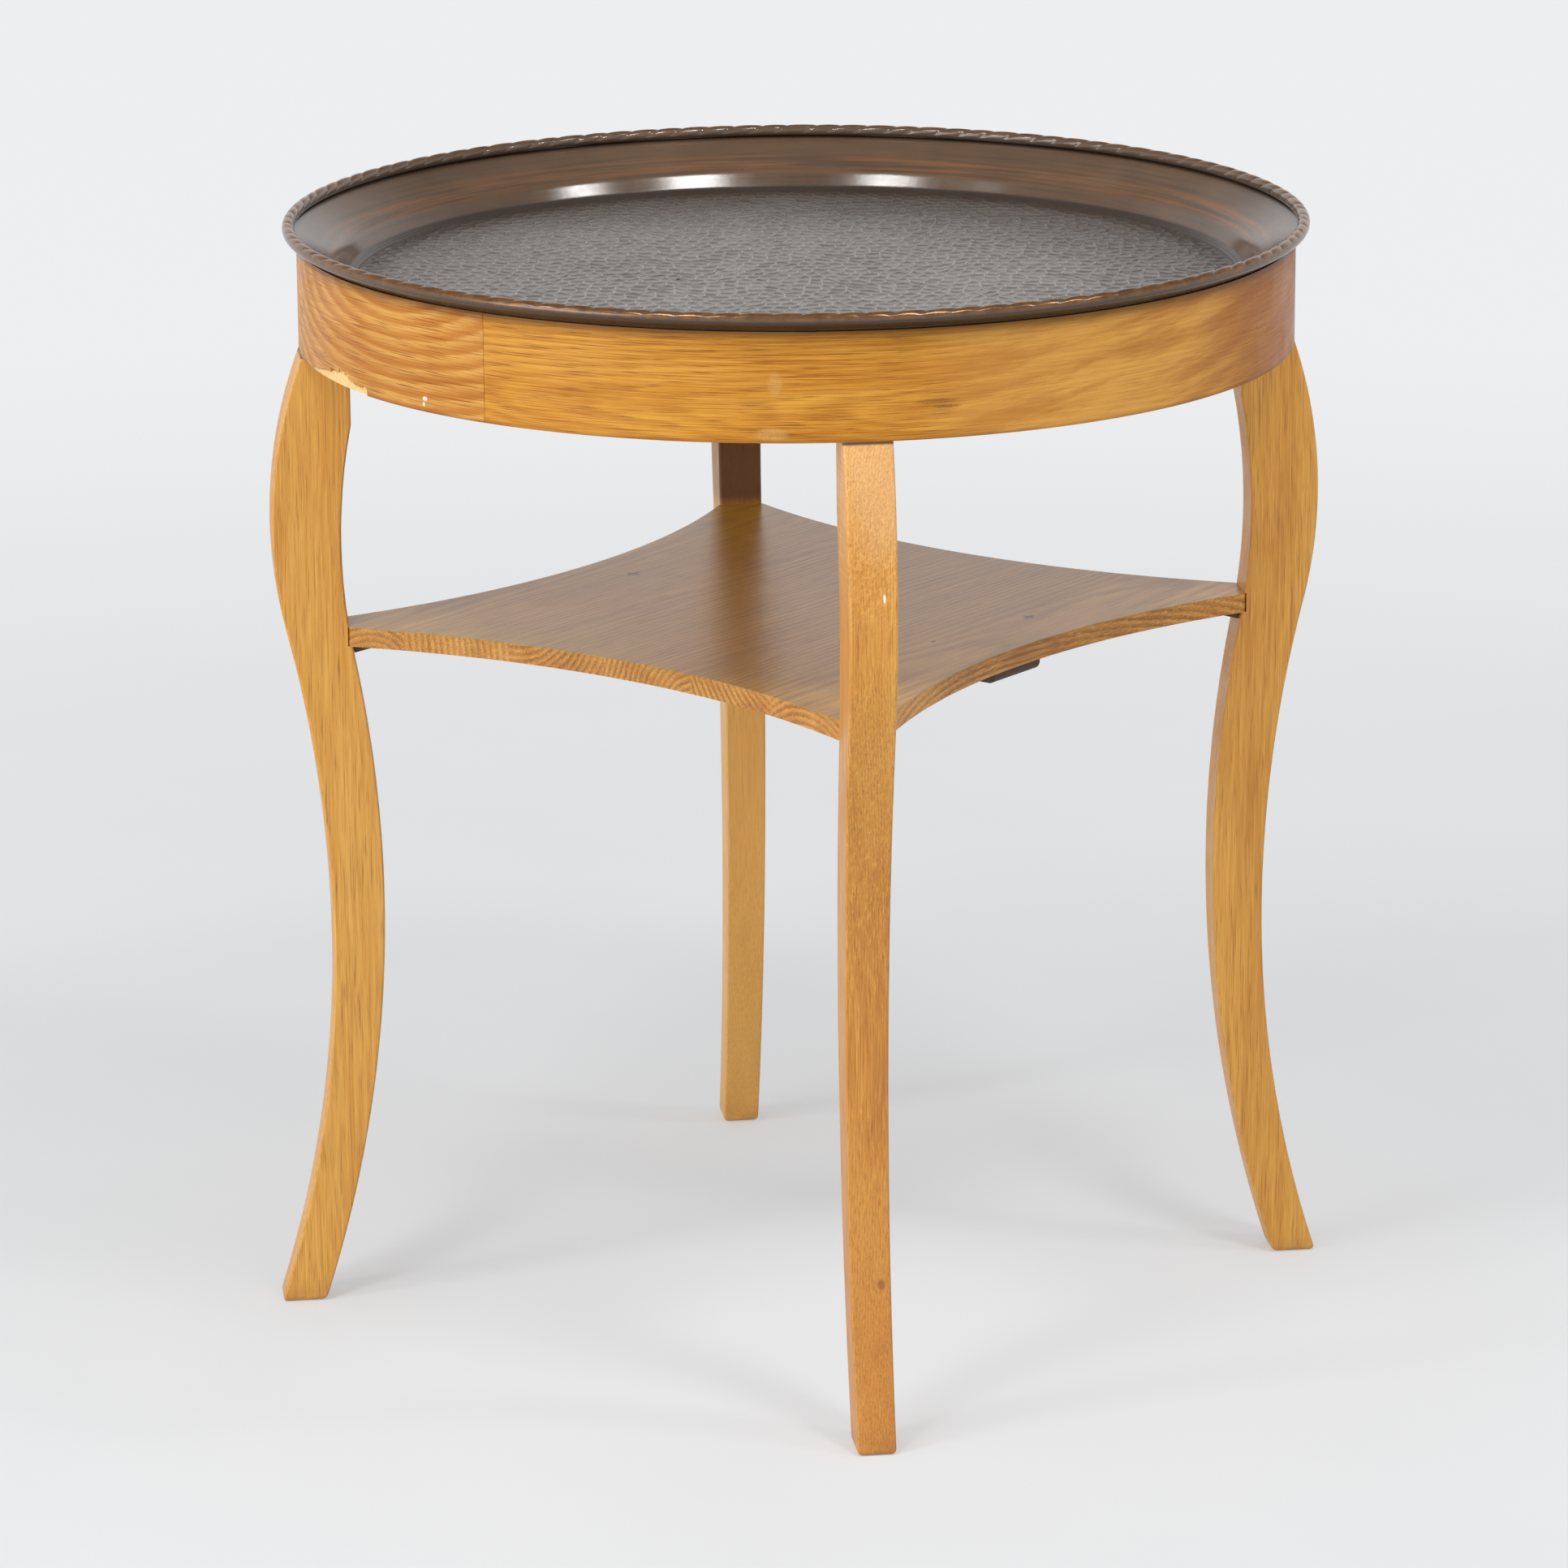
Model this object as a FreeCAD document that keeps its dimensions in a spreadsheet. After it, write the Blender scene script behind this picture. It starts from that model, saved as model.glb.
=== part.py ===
"""Smoking table: a loose copper tray in a veneered round hoop on four sawn S-curved legs.

The frame stands on the floor at z = 0 with the tray's axis on z and one leg on each of -y, +x, +y
and -x. All sizes are millimetres. The hoop is bent from two plies and faced with three veneers. Each
leg carries the hoop on a shoulder, with a stub behind it that takes the hoop's screws and the tray
board. A square shelf with hollowed sides, glued up from six staves, is housed in the legs.
"""
import FreeCAD, Part
import math
import os
import Sketcher

doc = FreeCAD.newDocument("SmokingTable")
sheet = doc.addObject("Spreadsheet::Sheet", "Sizes")

# Driving sizes: name, value, meaning
DRIVING = (
    ("hoop_outer_radius", 292, "outer face of the veneered hoop"),
    ("hoop_bottom", 582, "lower edge of the hoop, where the legs carry it"),
    ("hoop_height", 62, "depth of the hoop"),
    ("core_ply", 4.5, "thickness of each of the two bent plies"),
    ("veneer", 0.9, "thickness of the oak face veneer"),
    ("glue_line", 0.15, "gap between two ends that meet in a hoop layer"),
    ("glue_film", 0.3, "gap between two layers of the hoop"),
    ("veneer_seam_turn", 226, "bearing of the first veneer seam, degrees from +x"),
    ("inner_ply_turn", 60, "bearing of the inner ply's joint"),
    ("outer_ply_turn", 150, "bearing of the outer ply's joint"),
    ("rim_overhang", 4.4, "centre of the rim roll outside the hoop's face"),
    ("tray_depth", 30.8, "tray floor up to the centre of the rim roll"),
    ("tray_sheet", 1.2, "thickness of the copper"),
    ("roll_radius", 3.6, "outside of the rolled rim"),
    ("roll_end_slope", 55, "slope of the roll's cut end, degrees"),
    ("wire_clearance", 0.2, "play of the wire in the rim roll"),
    ("floor_inset", 32, "edge of the flat tray floor inside the hoop's face"),
    ("floor_bend", 4, "inside radius between tray floor and wall"),
    ("wall_slope", 60, "slope of the tray's wall, degrees from level"),
    ("lip_bend", 15, "radius of the bend between wall and flared lip"),
    ("lip_slope", 31, "slope of the flared lip, degrees from level"),
    ("tray_clearance", 0.7, "play between the tray and the bevelled hoop"),
    ("board_thickness", 6, "plywood board under the tray"),
    ("board_clearance", 0.5, "play of the board in the hoop"),
    ("leg_width_top", 28.2, "width of a leg across the hoop"),
    ("leg_width_foot", 22.4, "width of a leg at the floor"),
    ("foot_spread", 25.5, "outer edge of the foot beyond the hoop's face"),
    ("foot_depth", 26.5, "radial depth of the foot"),
    ("waist_height", 224, "height of the outer edge's waist"),
    ("waist_inset", 11, "outer waist inside the hoop's face"),
    ("outer_turn_height", 413, "height where the outer curve turns over"),
    ("knee_share", 0.3876, "outer knee on the way from the turn up to the hoop, as a share"),
    ("knee_spread", 19.5, "outer knee beyond the hoop's face"),
    ("inner_waist_height", 251, "height of the inner edge's waist"),
    ("inner_waist_inset", 41.6, "inner waist inside the hoop's face"),
    ("inner_turn_height", 401, "height where the inner curve turns over"),
    ("inner_knee_share", 0.4856, "inner knee on the way from the turn up to the shoulder, as a share"),
    ("inner_knee_inset", 20.8, "inner knee inside the hoop's face"),
    ("inner_shoulder_drop", 42, "where the inner curve ends, below the hoop"),
    ("stub_depth", 17.5, "radial depth of the stub inside the hoop"),
    ("stub_height", 31.8, "rise of the stub above the hoop's lower edge"),
    ("stub_clearance", 0.1, "glue room between stub and hoop"),
    ("leg_easing", 1.5, "rounding of the long edges of a leg"),
    ("shelf_top", 418.6, "upper face of the shelf"),
    ("shelf_thickness", 11.5, "thickness of the shelf"),
    ("hollow_depth", 34.85, "depth of the hollow in each side of the shelf"),
    ("shelf_rounding", 5, "rounding beside each corner of the shelf"),
    ("housing_depth", 1, "least depth of the leg's housing for the shelf"),
    ("wide_edge_stave", 48, "width of the outer stave on one side, at its waist"),
    ("narrow_edge_stave", 17, "width of the outer stave on the other side"),
    ("dowel_radius", 3, "beech dowels between shelf and leg"),
    ("dowel_length", 30, "half in the shelf and half in the leg"),
    ("dowel_spacing", 13, "the two dowels of a corner"),
    ("bore_clearance", 0.1, "bores larger than their pins, on radius"),
    ("block_reach", 13, "length of a glue block along the shelf"),
    ("block_drop", 5, "depth of a glue block at the leg"),
    ("block_lip", 2, "depth of a glue block at its free end"),
    ("block_width", 18, "width of a glue block"),
    ("block_clearance", 0.2, "glue room between block and leg"),
    ("batten_width", 44, "batten under the staves"),
    ("batten_thickness", 8, "thickness of the batten"),
    ("batten_setback", 4, "end of the batten behind the hollowed side"),
    ("batten_rounding", 5, "rounding of the batten's lower end edges"),
    ("screw_radius", 1.75, "shank of every wood screw"),
    ("screw_head_radius", 3.6, "head of every wood screw"),
    ("screw_head_height", 2.4, "height of a screw head"),
    ("apron_screw_spacing", 16, "the two hoop screws of a leg"),
    ("apron_screw_rise", 15, "hoop screws above the hoop's lower edge"),
    ("screw_cover", 1, "ply left between a screw tip and the veneer"),
    ("board_screw_grip", 16, "length of a board screw in the stub"),
    ("batten_screw_grip", 7, "length of a batten screw in the shelf"),
)


def level_arc(rise, run):
    """Radius of an arc that starts upright and gains run while it gains rise, as a formula."""
    return "((%s)^2 + (%s)^2) / (2 * abs(%s))" % (rise, run, run)


def part_way(low, high, share):
    """A size that lies a share of the way from one size up to another, as a formula."""
    return "%s + (%s - %s) * %s" % (low, high, low, share)


def on_chord(low_radius, low_height, high_radius, high_height, height):
    """Where the straight line between two points of the edge passes a height, as a formula."""
    share = "(%s - %s) / (%s - %s)" % (height, low_height, high_height, low_height)
    return part_way(low_radius, high_radius, share)


def leg_face(height):
    """Distance of the leg's inner face from the axis at a height between waist and knee, as a formula."""
    above = "inner_knee - inner_knee_arc + sqrt(inner_knee_arc^2 - (inner_knee_height - (%s))^2)" % height
    below = "inner_waist + inner_waist_arc - sqrt(inner_waist_arc^2 - ((%s) - inner_waist_height)^2)" % height
    return "(%s) > inner_turn_height ? %s : %s" % (height, above, below)


def sloped(height, through_radius, through_height, slope):
    """Where a sloping line through a given point reaches a height, as a formula."""
    return "%s + (%s - %s) / tan(%s)" % (through_radius, height, through_height, slope)


# Derived sizes: name and formula
STAVES = 6
STRIPS = 3
DERIVED = [
    ("veneer_inner", "hoop_outer_radius - veneer"),
    ("outer_ply_outside", "veneer_inner - glue_film"),
    ("outer_ply_inside", "outer_ply_outside - core_ply"),
    ("inner_ply_outside", "outer_ply_inside - glue_film"),
    ("hoop_inner", "inner_ply_outside - core_ply"),
    ("hoop_top", "hoop_bottom + hoop_height"),
    ("glue_turn", "glue_line / hoop_outer_radius * 180 / pi"),
    ("ply_sweep", "360 - glue_turn"),
    ("strip_sweep", "360 / %d" % STRIPS),
    ("veneer_sweep", "strip_sweep - glue_turn"),
    ("board_bottom", "hoop_bottom + stub_height"),
    ("board_top", "board_bottom + board_thickness"),
    ("board_radius", "hoop_inner - board_clearance"),
    ("floor_top", "board_top + tray_sheet"),
    ("rim_radius", "hoop_outer_radius + rim_overhang"),
    ("rim_height", "floor_top + tray_depth"),
    ("roll_bore", "roll_radius - tray_sheet"),
    ("wire_radius", "roll_bore - wire_clearance"),
    ("floor_radius", "hoop_outer_radius - floor_inset"),
    ("wall_room", "floor_bend + tray_sheet + tray_clearance"),
    ("wall_room_radius", "floor_radius + wall_room * sin(wall_slope)"),
    ("wall_room_height", "floor_top + floor_bend - wall_room * cos(wall_slope)"),
    ("lip_room", "roll_radius + tray_clearance"),
    ("lip_room_radius", "rim_radius + lip_room * sin(lip_slope)"),
    ("lip_room_height", "rim_height - lip_room * cos(lip_slope)"),
    ("bevel_low", sloped("board_top", "wall_room_radius", "wall_room_height", "wall_slope")),
    ("bevel_high", sloped("rim_height", "lip_room_radius", "lip_room_height", "lip_slope")),
    ("bevel_knee", "(lip_room_height - wall_room_height + wall_room_radius * tan(wall_slope)"
                   " - lip_room_radius * tan(lip_slope)) / (tan(wall_slope) - tan(lip_slope))"),
    ("bevel_knee_height", "wall_room_height + (bevel_knee - wall_room_radius) * tan(wall_slope)"),
    ("foot_outer", "hoop_outer_radius + foot_spread"),
    ("foot_inner", "foot_outer - foot_depth"),
    ("waist_outer", "hoop_outer_radius - waist_inset"),
    ("knee_outer", "hoop_outer_radius + knee_spread"),
    ("inner_waist", "hoop_outer_radius - inner_waist_inset"),
    ("inner_knee", "hoop_outer_radius - inner_knee_inset"),
    ("inner_shoulder", "hoop_bottom - inner_shoulder_drop"),
    ("knee_height", part_way("outer_turn_height", "hoop_bottom", "knee_share")),
    ("inner_knee_height", part_way("inner_turn_height", "inner_shoulder", "inner_knee_share")),
    ("outer_turn", on_chord("waist_outer", "waist_height", "knee_outer", "knee_height", "outer_turn_height")),
    ("inner_turn", on_chord("inner_waist", "inner_waist_height", "inner_knee", "inner_knee_height",
                            "inner_turn_height")),
    ("inner_knee_arc", level_arc("inner_knee_height - inner_turn_height", "inner_knee - inner_turn")),
    ("inner_waist_arc", level_arc("inner_turn_height - inner_waist_height", "inner_turn - inner_waist")),
    ("half_width_top", "leg_width_top / 2"),
    ("half_width_foot", "leg_width_foot / 2"),
    ("stub_outer", "sqrt(hoop_inner^2 - half_width_top^2) - stub_clearance"),
    ("stub_inner", "hoop_inner - stub_depth"),
    ("shelf_bottom", "shelf_top - shelf_thickness"),
    ("shelf_middle", "shelf_top - shelf_thickness / 2"),
    ("face_high", leg_face("shelf_top")),
    ("face_low", leg_face("shelf_bottom")),
    ("shelf_seat", "max(face_high; face_low) + housing_depth"),
    ("shelf_corner", "half_width_foot + (half_width_top - half_width_foot) * shelf_bottom / hoop_bottom"),
    ("corner_along", "(shelf_seat + shelf_corner) / sqrt(2)"),
    ("corner_across", "(shelf_seat - shelf_corner) / sqrt(2)"),
    ("shelf_waist", "corner_along - hollow_depth"),
    ("hollow_radius", "(corner_across^2 + hollow_depth^2) / (2 * hollow_depth)"),
    ("hollow_centre", "(shelf_waist + hollow_radius) / sqrt(2)"),
    ("stave_width", "(2 * shelf_waist - wide_edge_stave - narrow_edge_stave) / %d" % (STAVES - 2)),
    ("block_face", "face_low - block_clearance"),
    ("block_foot", "shelf_bottom - block_drop"),
    ("block_toe", leg_face("block_foot")),
    ("block_heel", "block_toe - block_clearance"),
    ("block_end", "block_face - block_reach"),
    ("block_edge", "shelf_bottom - block_lip"),
    ("batten_bottom", "shelf_bottom - batten_thickness"),
    ("batten_half_length", "shelf_waist - batten_setback"),
    ("batten_half_width", "batten_width / 2"),
    ("dowel_half_spacing", "dowel_spacing / 2"),
    ("apron_screw_half_spacing", "apron_screw_spacing / 2"),
    ("apron_screw_height", "hoop_bottom + apron_screw_rise"),
    ("apron_screw_length", "veneer_inner - screw_cover - stub_inner"),
    ("board_screw_reach", "(stub_inner + stub_outer) / 2"),
    ("board_screw_length", "board_thickness + board_screw_grip"),
    ("batten_screw_length", "batten_thickness + batten_screw_grip"),
    ("dowel_bore", "dowel_radius + bore_clearance"),
    ("screw_bore", "screw_radius + bore_clearance"),
    ("head_bore", "screw_head_radius + bore_clearance"),
]
# The staves' joints, counted across the shelf, and a screw place in the middle of each stave
for joint in range(1, STAVES):
    DERIVED.append(("stave_joint_%d" % joint, "wide_edge_stave - shelf_waist + stave_width * %d" % (joint - 1)))
DERIVED.append(("stave_joint_0", "-shelf_seat"))
DERIVED.append(("stave_joint_%d" % STAVES, "shelf_seat"))
DERIVED.append(("stave_screw_0", "(stave_joint_1 - shelf_waist) / 2"))
DERIVED.append(("stave_screw_%d" % (STAVES - 1), "(stave_joint_%d + batten_half_length) / 2" % (STAVES - 1)))
for stave in range(1, STAVES - 1):
    DERIVED.append(("stave_screw_%d" % stave, "(stave_joint_%d + stave_joint_%d) / 2" % (stave, stave + 1)))


def fill_sheet():
    """Write every driving number and every formula under its name."""
    rows = []
    for name, value, meaning in DRIVING:
        rows.append((name, str(value), meaning))
    for name, formula in DERIVED:
        rows.append((name, "=" + formula, "derived"))
    for row, (name, content, meaning) in enumerate(rows, start=1):
        sheet.set("A%d" % row, name)
        sheet.set("B%d" % row, content)
        sheet.set("C%d" % row, meaning)
        sheet.setAlias("B%d" % row, name)
    doc.recompute()


def size(name):
    """The number that the sheet holds under a name."""
    value = getattr(sheet, name)
    return float(getattr(value, "Value", value))


def bind(thing, **formulas):
    """Tie properties of an object to named sizes; a double underscore stands for a dot."""
    for key, formula in formulas.items():
        thing.setExpression(key.replace("__", "."), formula)


def new_body(label, turn=0.0):
    """An empty body with a label, turned about the axis by a number of degrees."""
    body = doc.addObject("PartDesign::Body", label)
    body.Label = label
    body.AllowCompound = True
    body.Placement.Rotation = FreeCAD.Rotation(FreeCAD.Vector(0, 0, 1), turn)
    return body


def origin_part(body, role):
    """One of the body's own planes or axes."""
    return [item for item in body.Origin.OriginFeatures if item.Role == role][0]


def new_sketch(body, name, role, lift=None):
    """A sketch on one of the body's own planes, lifted along the plane's normal by a named size."""
    sketch = body.newObject("Sketcher::SketchObject", name)
    sketch.AttachmentSupport = [(origin_part(body, role), "")]
    sketch.MapMode = "FlatFace"
    if lift:
        bind(sketch, AttachmentOffset__Base__z="Sizes." + lift)
    doc.recompute()
    return sketch


def drive(sketch, constraint, formula):
    """Add a constraint and tie its value to a formula on the sheet."""
    index = sketch.addConstraint(constraint)
    sketch.setExpression("Constraints[%d]" % index, formula)


def place(sketch, geometry, position, across, up):
    """Hold one point of a sketch at two named sizes; None stands for zero."""
    for axis, kind, name in ((-2, "DistanceX", across), (-1, "DistanceY", up)):
        if name is None:
            sketch.addConstraint(Sketcher.Constraint("PointOnObject", geometry, position, axis))
        else:
            held = Sketcher.Constraint(kind, -1, 1, geometry, position, size(name))
            drive(sketch, held, "Sizes." + name)


def coordinate(name):
    """A named size as a number, where None stands for zero."""
    return 0.0 if name is None else size(name)


def upright_arc(upright, other):
    """Arc between two points that stands upright at the first, and the ends it starts and stops at."""
    run = other.x - upright.x
    rise = other.y - upright.y
    reach = (run * run + rise * rise) / (2 * run)
    centre = FreeCAD.Vector(upright.x + reach, upright.y, 0)
    first = math.atan2(upright.y - centre.y, upright.x - centre.x)
    last = math.atan2(other.y - centre.y, other.x - centre.x)
    forward = math.sin(last - first) > 0
    circle = Part.Circle(centre, FreeCAD.Vector(0, 0, 1), abs(reach))
    angles = (first, last) if forward else (last, first)
    return Part.ArcOfCircle(circle, *angles), forward


def draw_outline(sketch, corners, arcs=None):
    """Closed outline through named corners. arcs says which edges bend, and whether an edge stands
    upright at its first corner ("first") or at its last one ("last"); all others are straight."""
    arcs = arcs or {}
    points = [FreeCAD.Vector(coordinate(across), coordinate(up), 0) for across, up in corners]
    ends = []
    for edge, start in enumerate(points):
        stop = points[(edge + 1) % len(points)]
        if edge not in arcs:
            sketch.addGeometry(Part.LineSegment(start, stop))
            ends.append((1, 2))
            continue
        if arcs[edge] == "first":
            curve, forward = upright_arc(start, stop)
        else:
            curve, backward = upright_arc(stop, start)
            forward = not backward
        sketch.addGeometry(curve)
        ends.append((1, 2) if forward else (2, 1))
    for edge, (across, up) in enumerate(corners):
        after = (edge + 1) % len(corners)
        sketch.addConstraint(Sketcher.Constraint("Coincident", edge, ends[edge][1], after, ends[after][0]))
        place(sketch, edge, ends[edge][0], across, up)
    for edge, upright in arcs.items():
        level = ends[edge][0] if upright == "first" else ends[edge][1]
        sketch.addConstraint(Sketcher.Constraint("Horizontal", edge, 3, edge, level))


def draw_circles(sketch, radius, centres):
    """Circles of one named radius; each centre is two formulas on the sheet."""
    for across, up in centres:
        at = FreeCAD.Vector(signed(across), signed(up), 0)
        circle = sketch.addGeometry(Part.Circle(at, FreeCAD.Vector(0, 0, 1), size(radius)))
        drive(sketch, Sketcher.Constraint("Radius", circle, size(radius)), "Sizes." + radius)
        for axis, kind, name, value in ((-2, "DistanceX", across, at.x), (-1, "DistanceY", up, at.y)):
            if name is None:
                sketch.addConstraint(Sketcher.Constraint("PointOnObject", circle, 3, axis))
                continue
            held = Sketcher.Constraint(kind, -1, 1, circle, 3, value)
            sign = "-" if name.startswith("-") else ""
            drive(sketch, held, sign + "Sizes." + name.lstrip("-"))


def signed(name):
    """A named size as a number; a leading minus sign turns it round and None stands for zero."""
    if name is None:
        return 0.0
    return -size(name[1:]) if name.startswith("-") else size(name)


def pad(body, sketch, length, symmetric=False, reverse=False):
    """Extrude a sketch by a named size."""
    solid = body.newObject("PartDesign::Pad", sketch.Name + "_pad")
    solid.Profile = sketch
    solid.SideType = "Symmetric" if symmetric else "One side"
    solid.Reversed = reverse
    bind(solid, Length="Sizes." + length)
    doc.recompute()
    return solid


def revolve(body, sketch, sweep):
    """Turn a sketch about the body's upright axis through a formula of degrees."""
    solid = body.newObject("PartDesign::Revolution", sketch.Name + "_turned")
    solid.Profile = sketch
    solid.ReferenceAxis = (sketch, ["V_Axis"])
    bind(solid, Angle=sweep)
    doc.recompute()
    return solid


def around(body, features, copies):
    """Repeat features of a body round the axis."""
    pattern = body.newObject("PartDesign::PolarPattern", body.Name + "_round")
    pattern.Originals = features
    pattern.Axis = (origin_part(body, "Z_Axis"), [""])
    pattern.Angle = 360
    pattern.Occurrences = copies
    body.Tip = pattern
    doc.recompute()


def cut(label, base, tools):
    """A piece with its bores and clearances taken out."""
    tool = tools[0]
    if len(tools) > 1:
        tool = doc.addObject("Part::Compound", label + "_tools")
        tool.Links = tools
    piece = doc.addObject("Part::Cut", label)
    piece.Label = label
    piece.Base = base
    piece.Tool = tool
    piece.Refine = True
    doc.recompute()
    return piece


# Legs stand on these bearings, degrees from +x
LEGS = (("front", -90), ("right", 0), ("back", 90), ("left", 180))
SHELF_TURN = 45


def dowel_pins(label, radius):
    """Two level dowels at each corner of the shelf, centred on the housing's face."""
    body = new_body(label)
    sketch = new_sketch(body, label + "_ends", "YZ_Plane", "shelf_seat")
    draw_circles(sketch, radius, (("dowel_half_spacing", "shelf_middle"), ("-dowel_half_spacing", "shelf_middle")))
    around(body, [pad(body, sketch, "dowel_length", symmetric=True)], len(LEGS))
    return body


def apron_pins(label, radius, headed):
    """Two screws from inside each stub into the hoop's plies."""
    body = new_body(label)
    places = (("apron_screw_half_spacing", "apron_screw_height"), ("-apron_screw_half_spacing", "apron_screw_height"))
    shanks = new_sketch(body, label + "_shanks", "YZ_Plane", "stub_inner")
    draw_circles(shanks, radius, places)
    features = [pad(body, shanks, "apron_screw_length")]
    if headed:
        heads = new_sketch(body, label + "_heads", "YZ_Plane", "stub_inner")
        draw_circles(heads, "screw_head_radius", places)
        features.append(pad(body, heads, "screw_head_height", reverse=True))
    around(body, features, len(LEGS))
    return body


def board_pins(label, radius, head_radius):
    """One screw down through the tray board into the top of each stub, its head sunk flush."""
    body = new_body(label)
    features = []
    for piece, across, length in (("shanks", radius, "board_screw_length"), ("heads", head_radius, "screw_head_height")):
        sketch = new_sketch(body, "%s_%s" % (label, piece), "XY_Plane", "board_top")
        draw_circles(sketch, across, (("board_screw_reach", None),))
        features.append(pad(body, sketch, length, reverse=True))
    around(body, features, len(LEGS))
    return body


def batten_pins(label, radius, headed):
    """One screw up through the batten into the middle of each stave."""
    body = new_body(label, SHELF_TURN)
    places = [(None, "stave_screw_%d" % stave) for stave in range(STAVES)]
    shanks = new_sketch(body, label + "_shanks", "XY_Plane", "batten_bottom")
    draw_circles(shanks, radius, places)
    pad(body, shanks, "batten_screw_length")
    if headed:
        heads = new_sketch(body, label + "_heads", "XY_Plane", "batten_bottom")
        draw_circles(heads, "screw_head_radius", places)
        pad(body, heads, "screw_head_height", reverse=True)
    return body


def hoop_layer(label, inner, outer, sweep, turn):
    """One bent layer of the hoop, from its joint round through a sweep."""
    body = new_body(label)
    bind(body, Placement__Rotation__Angle=turn)
    section = new_sketch(body, label + "_section", "XZ_Plane")
    corners = ((inner, "hoop_bottom"), (outer, "hoop_bottom"), (outer, "hoop_top"), (inner, "hoop_top"))
    draw_outline(section, corners)
    revolve(body, section, "Sizes." + sweep)
    return body


def slope_vectors(name):
    """Unit vectors along a named slope and square to it, outwards and down."""
    slope = math.radians(size(name))
    return FreeCAD.Vector(math.cos(slope), math.sin(slope), 0), FreeCAD.Vector(math.sin(slope), -math.cos(slope), 0)


def bent(centre, radius, start, stop):
    """Arc about a centre from one angle round to another."""
    return Part.ArcOfCircle(Part.Circle(centre, FreeCAD.Vector(0, 0, 1), radius), start, stop)


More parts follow.
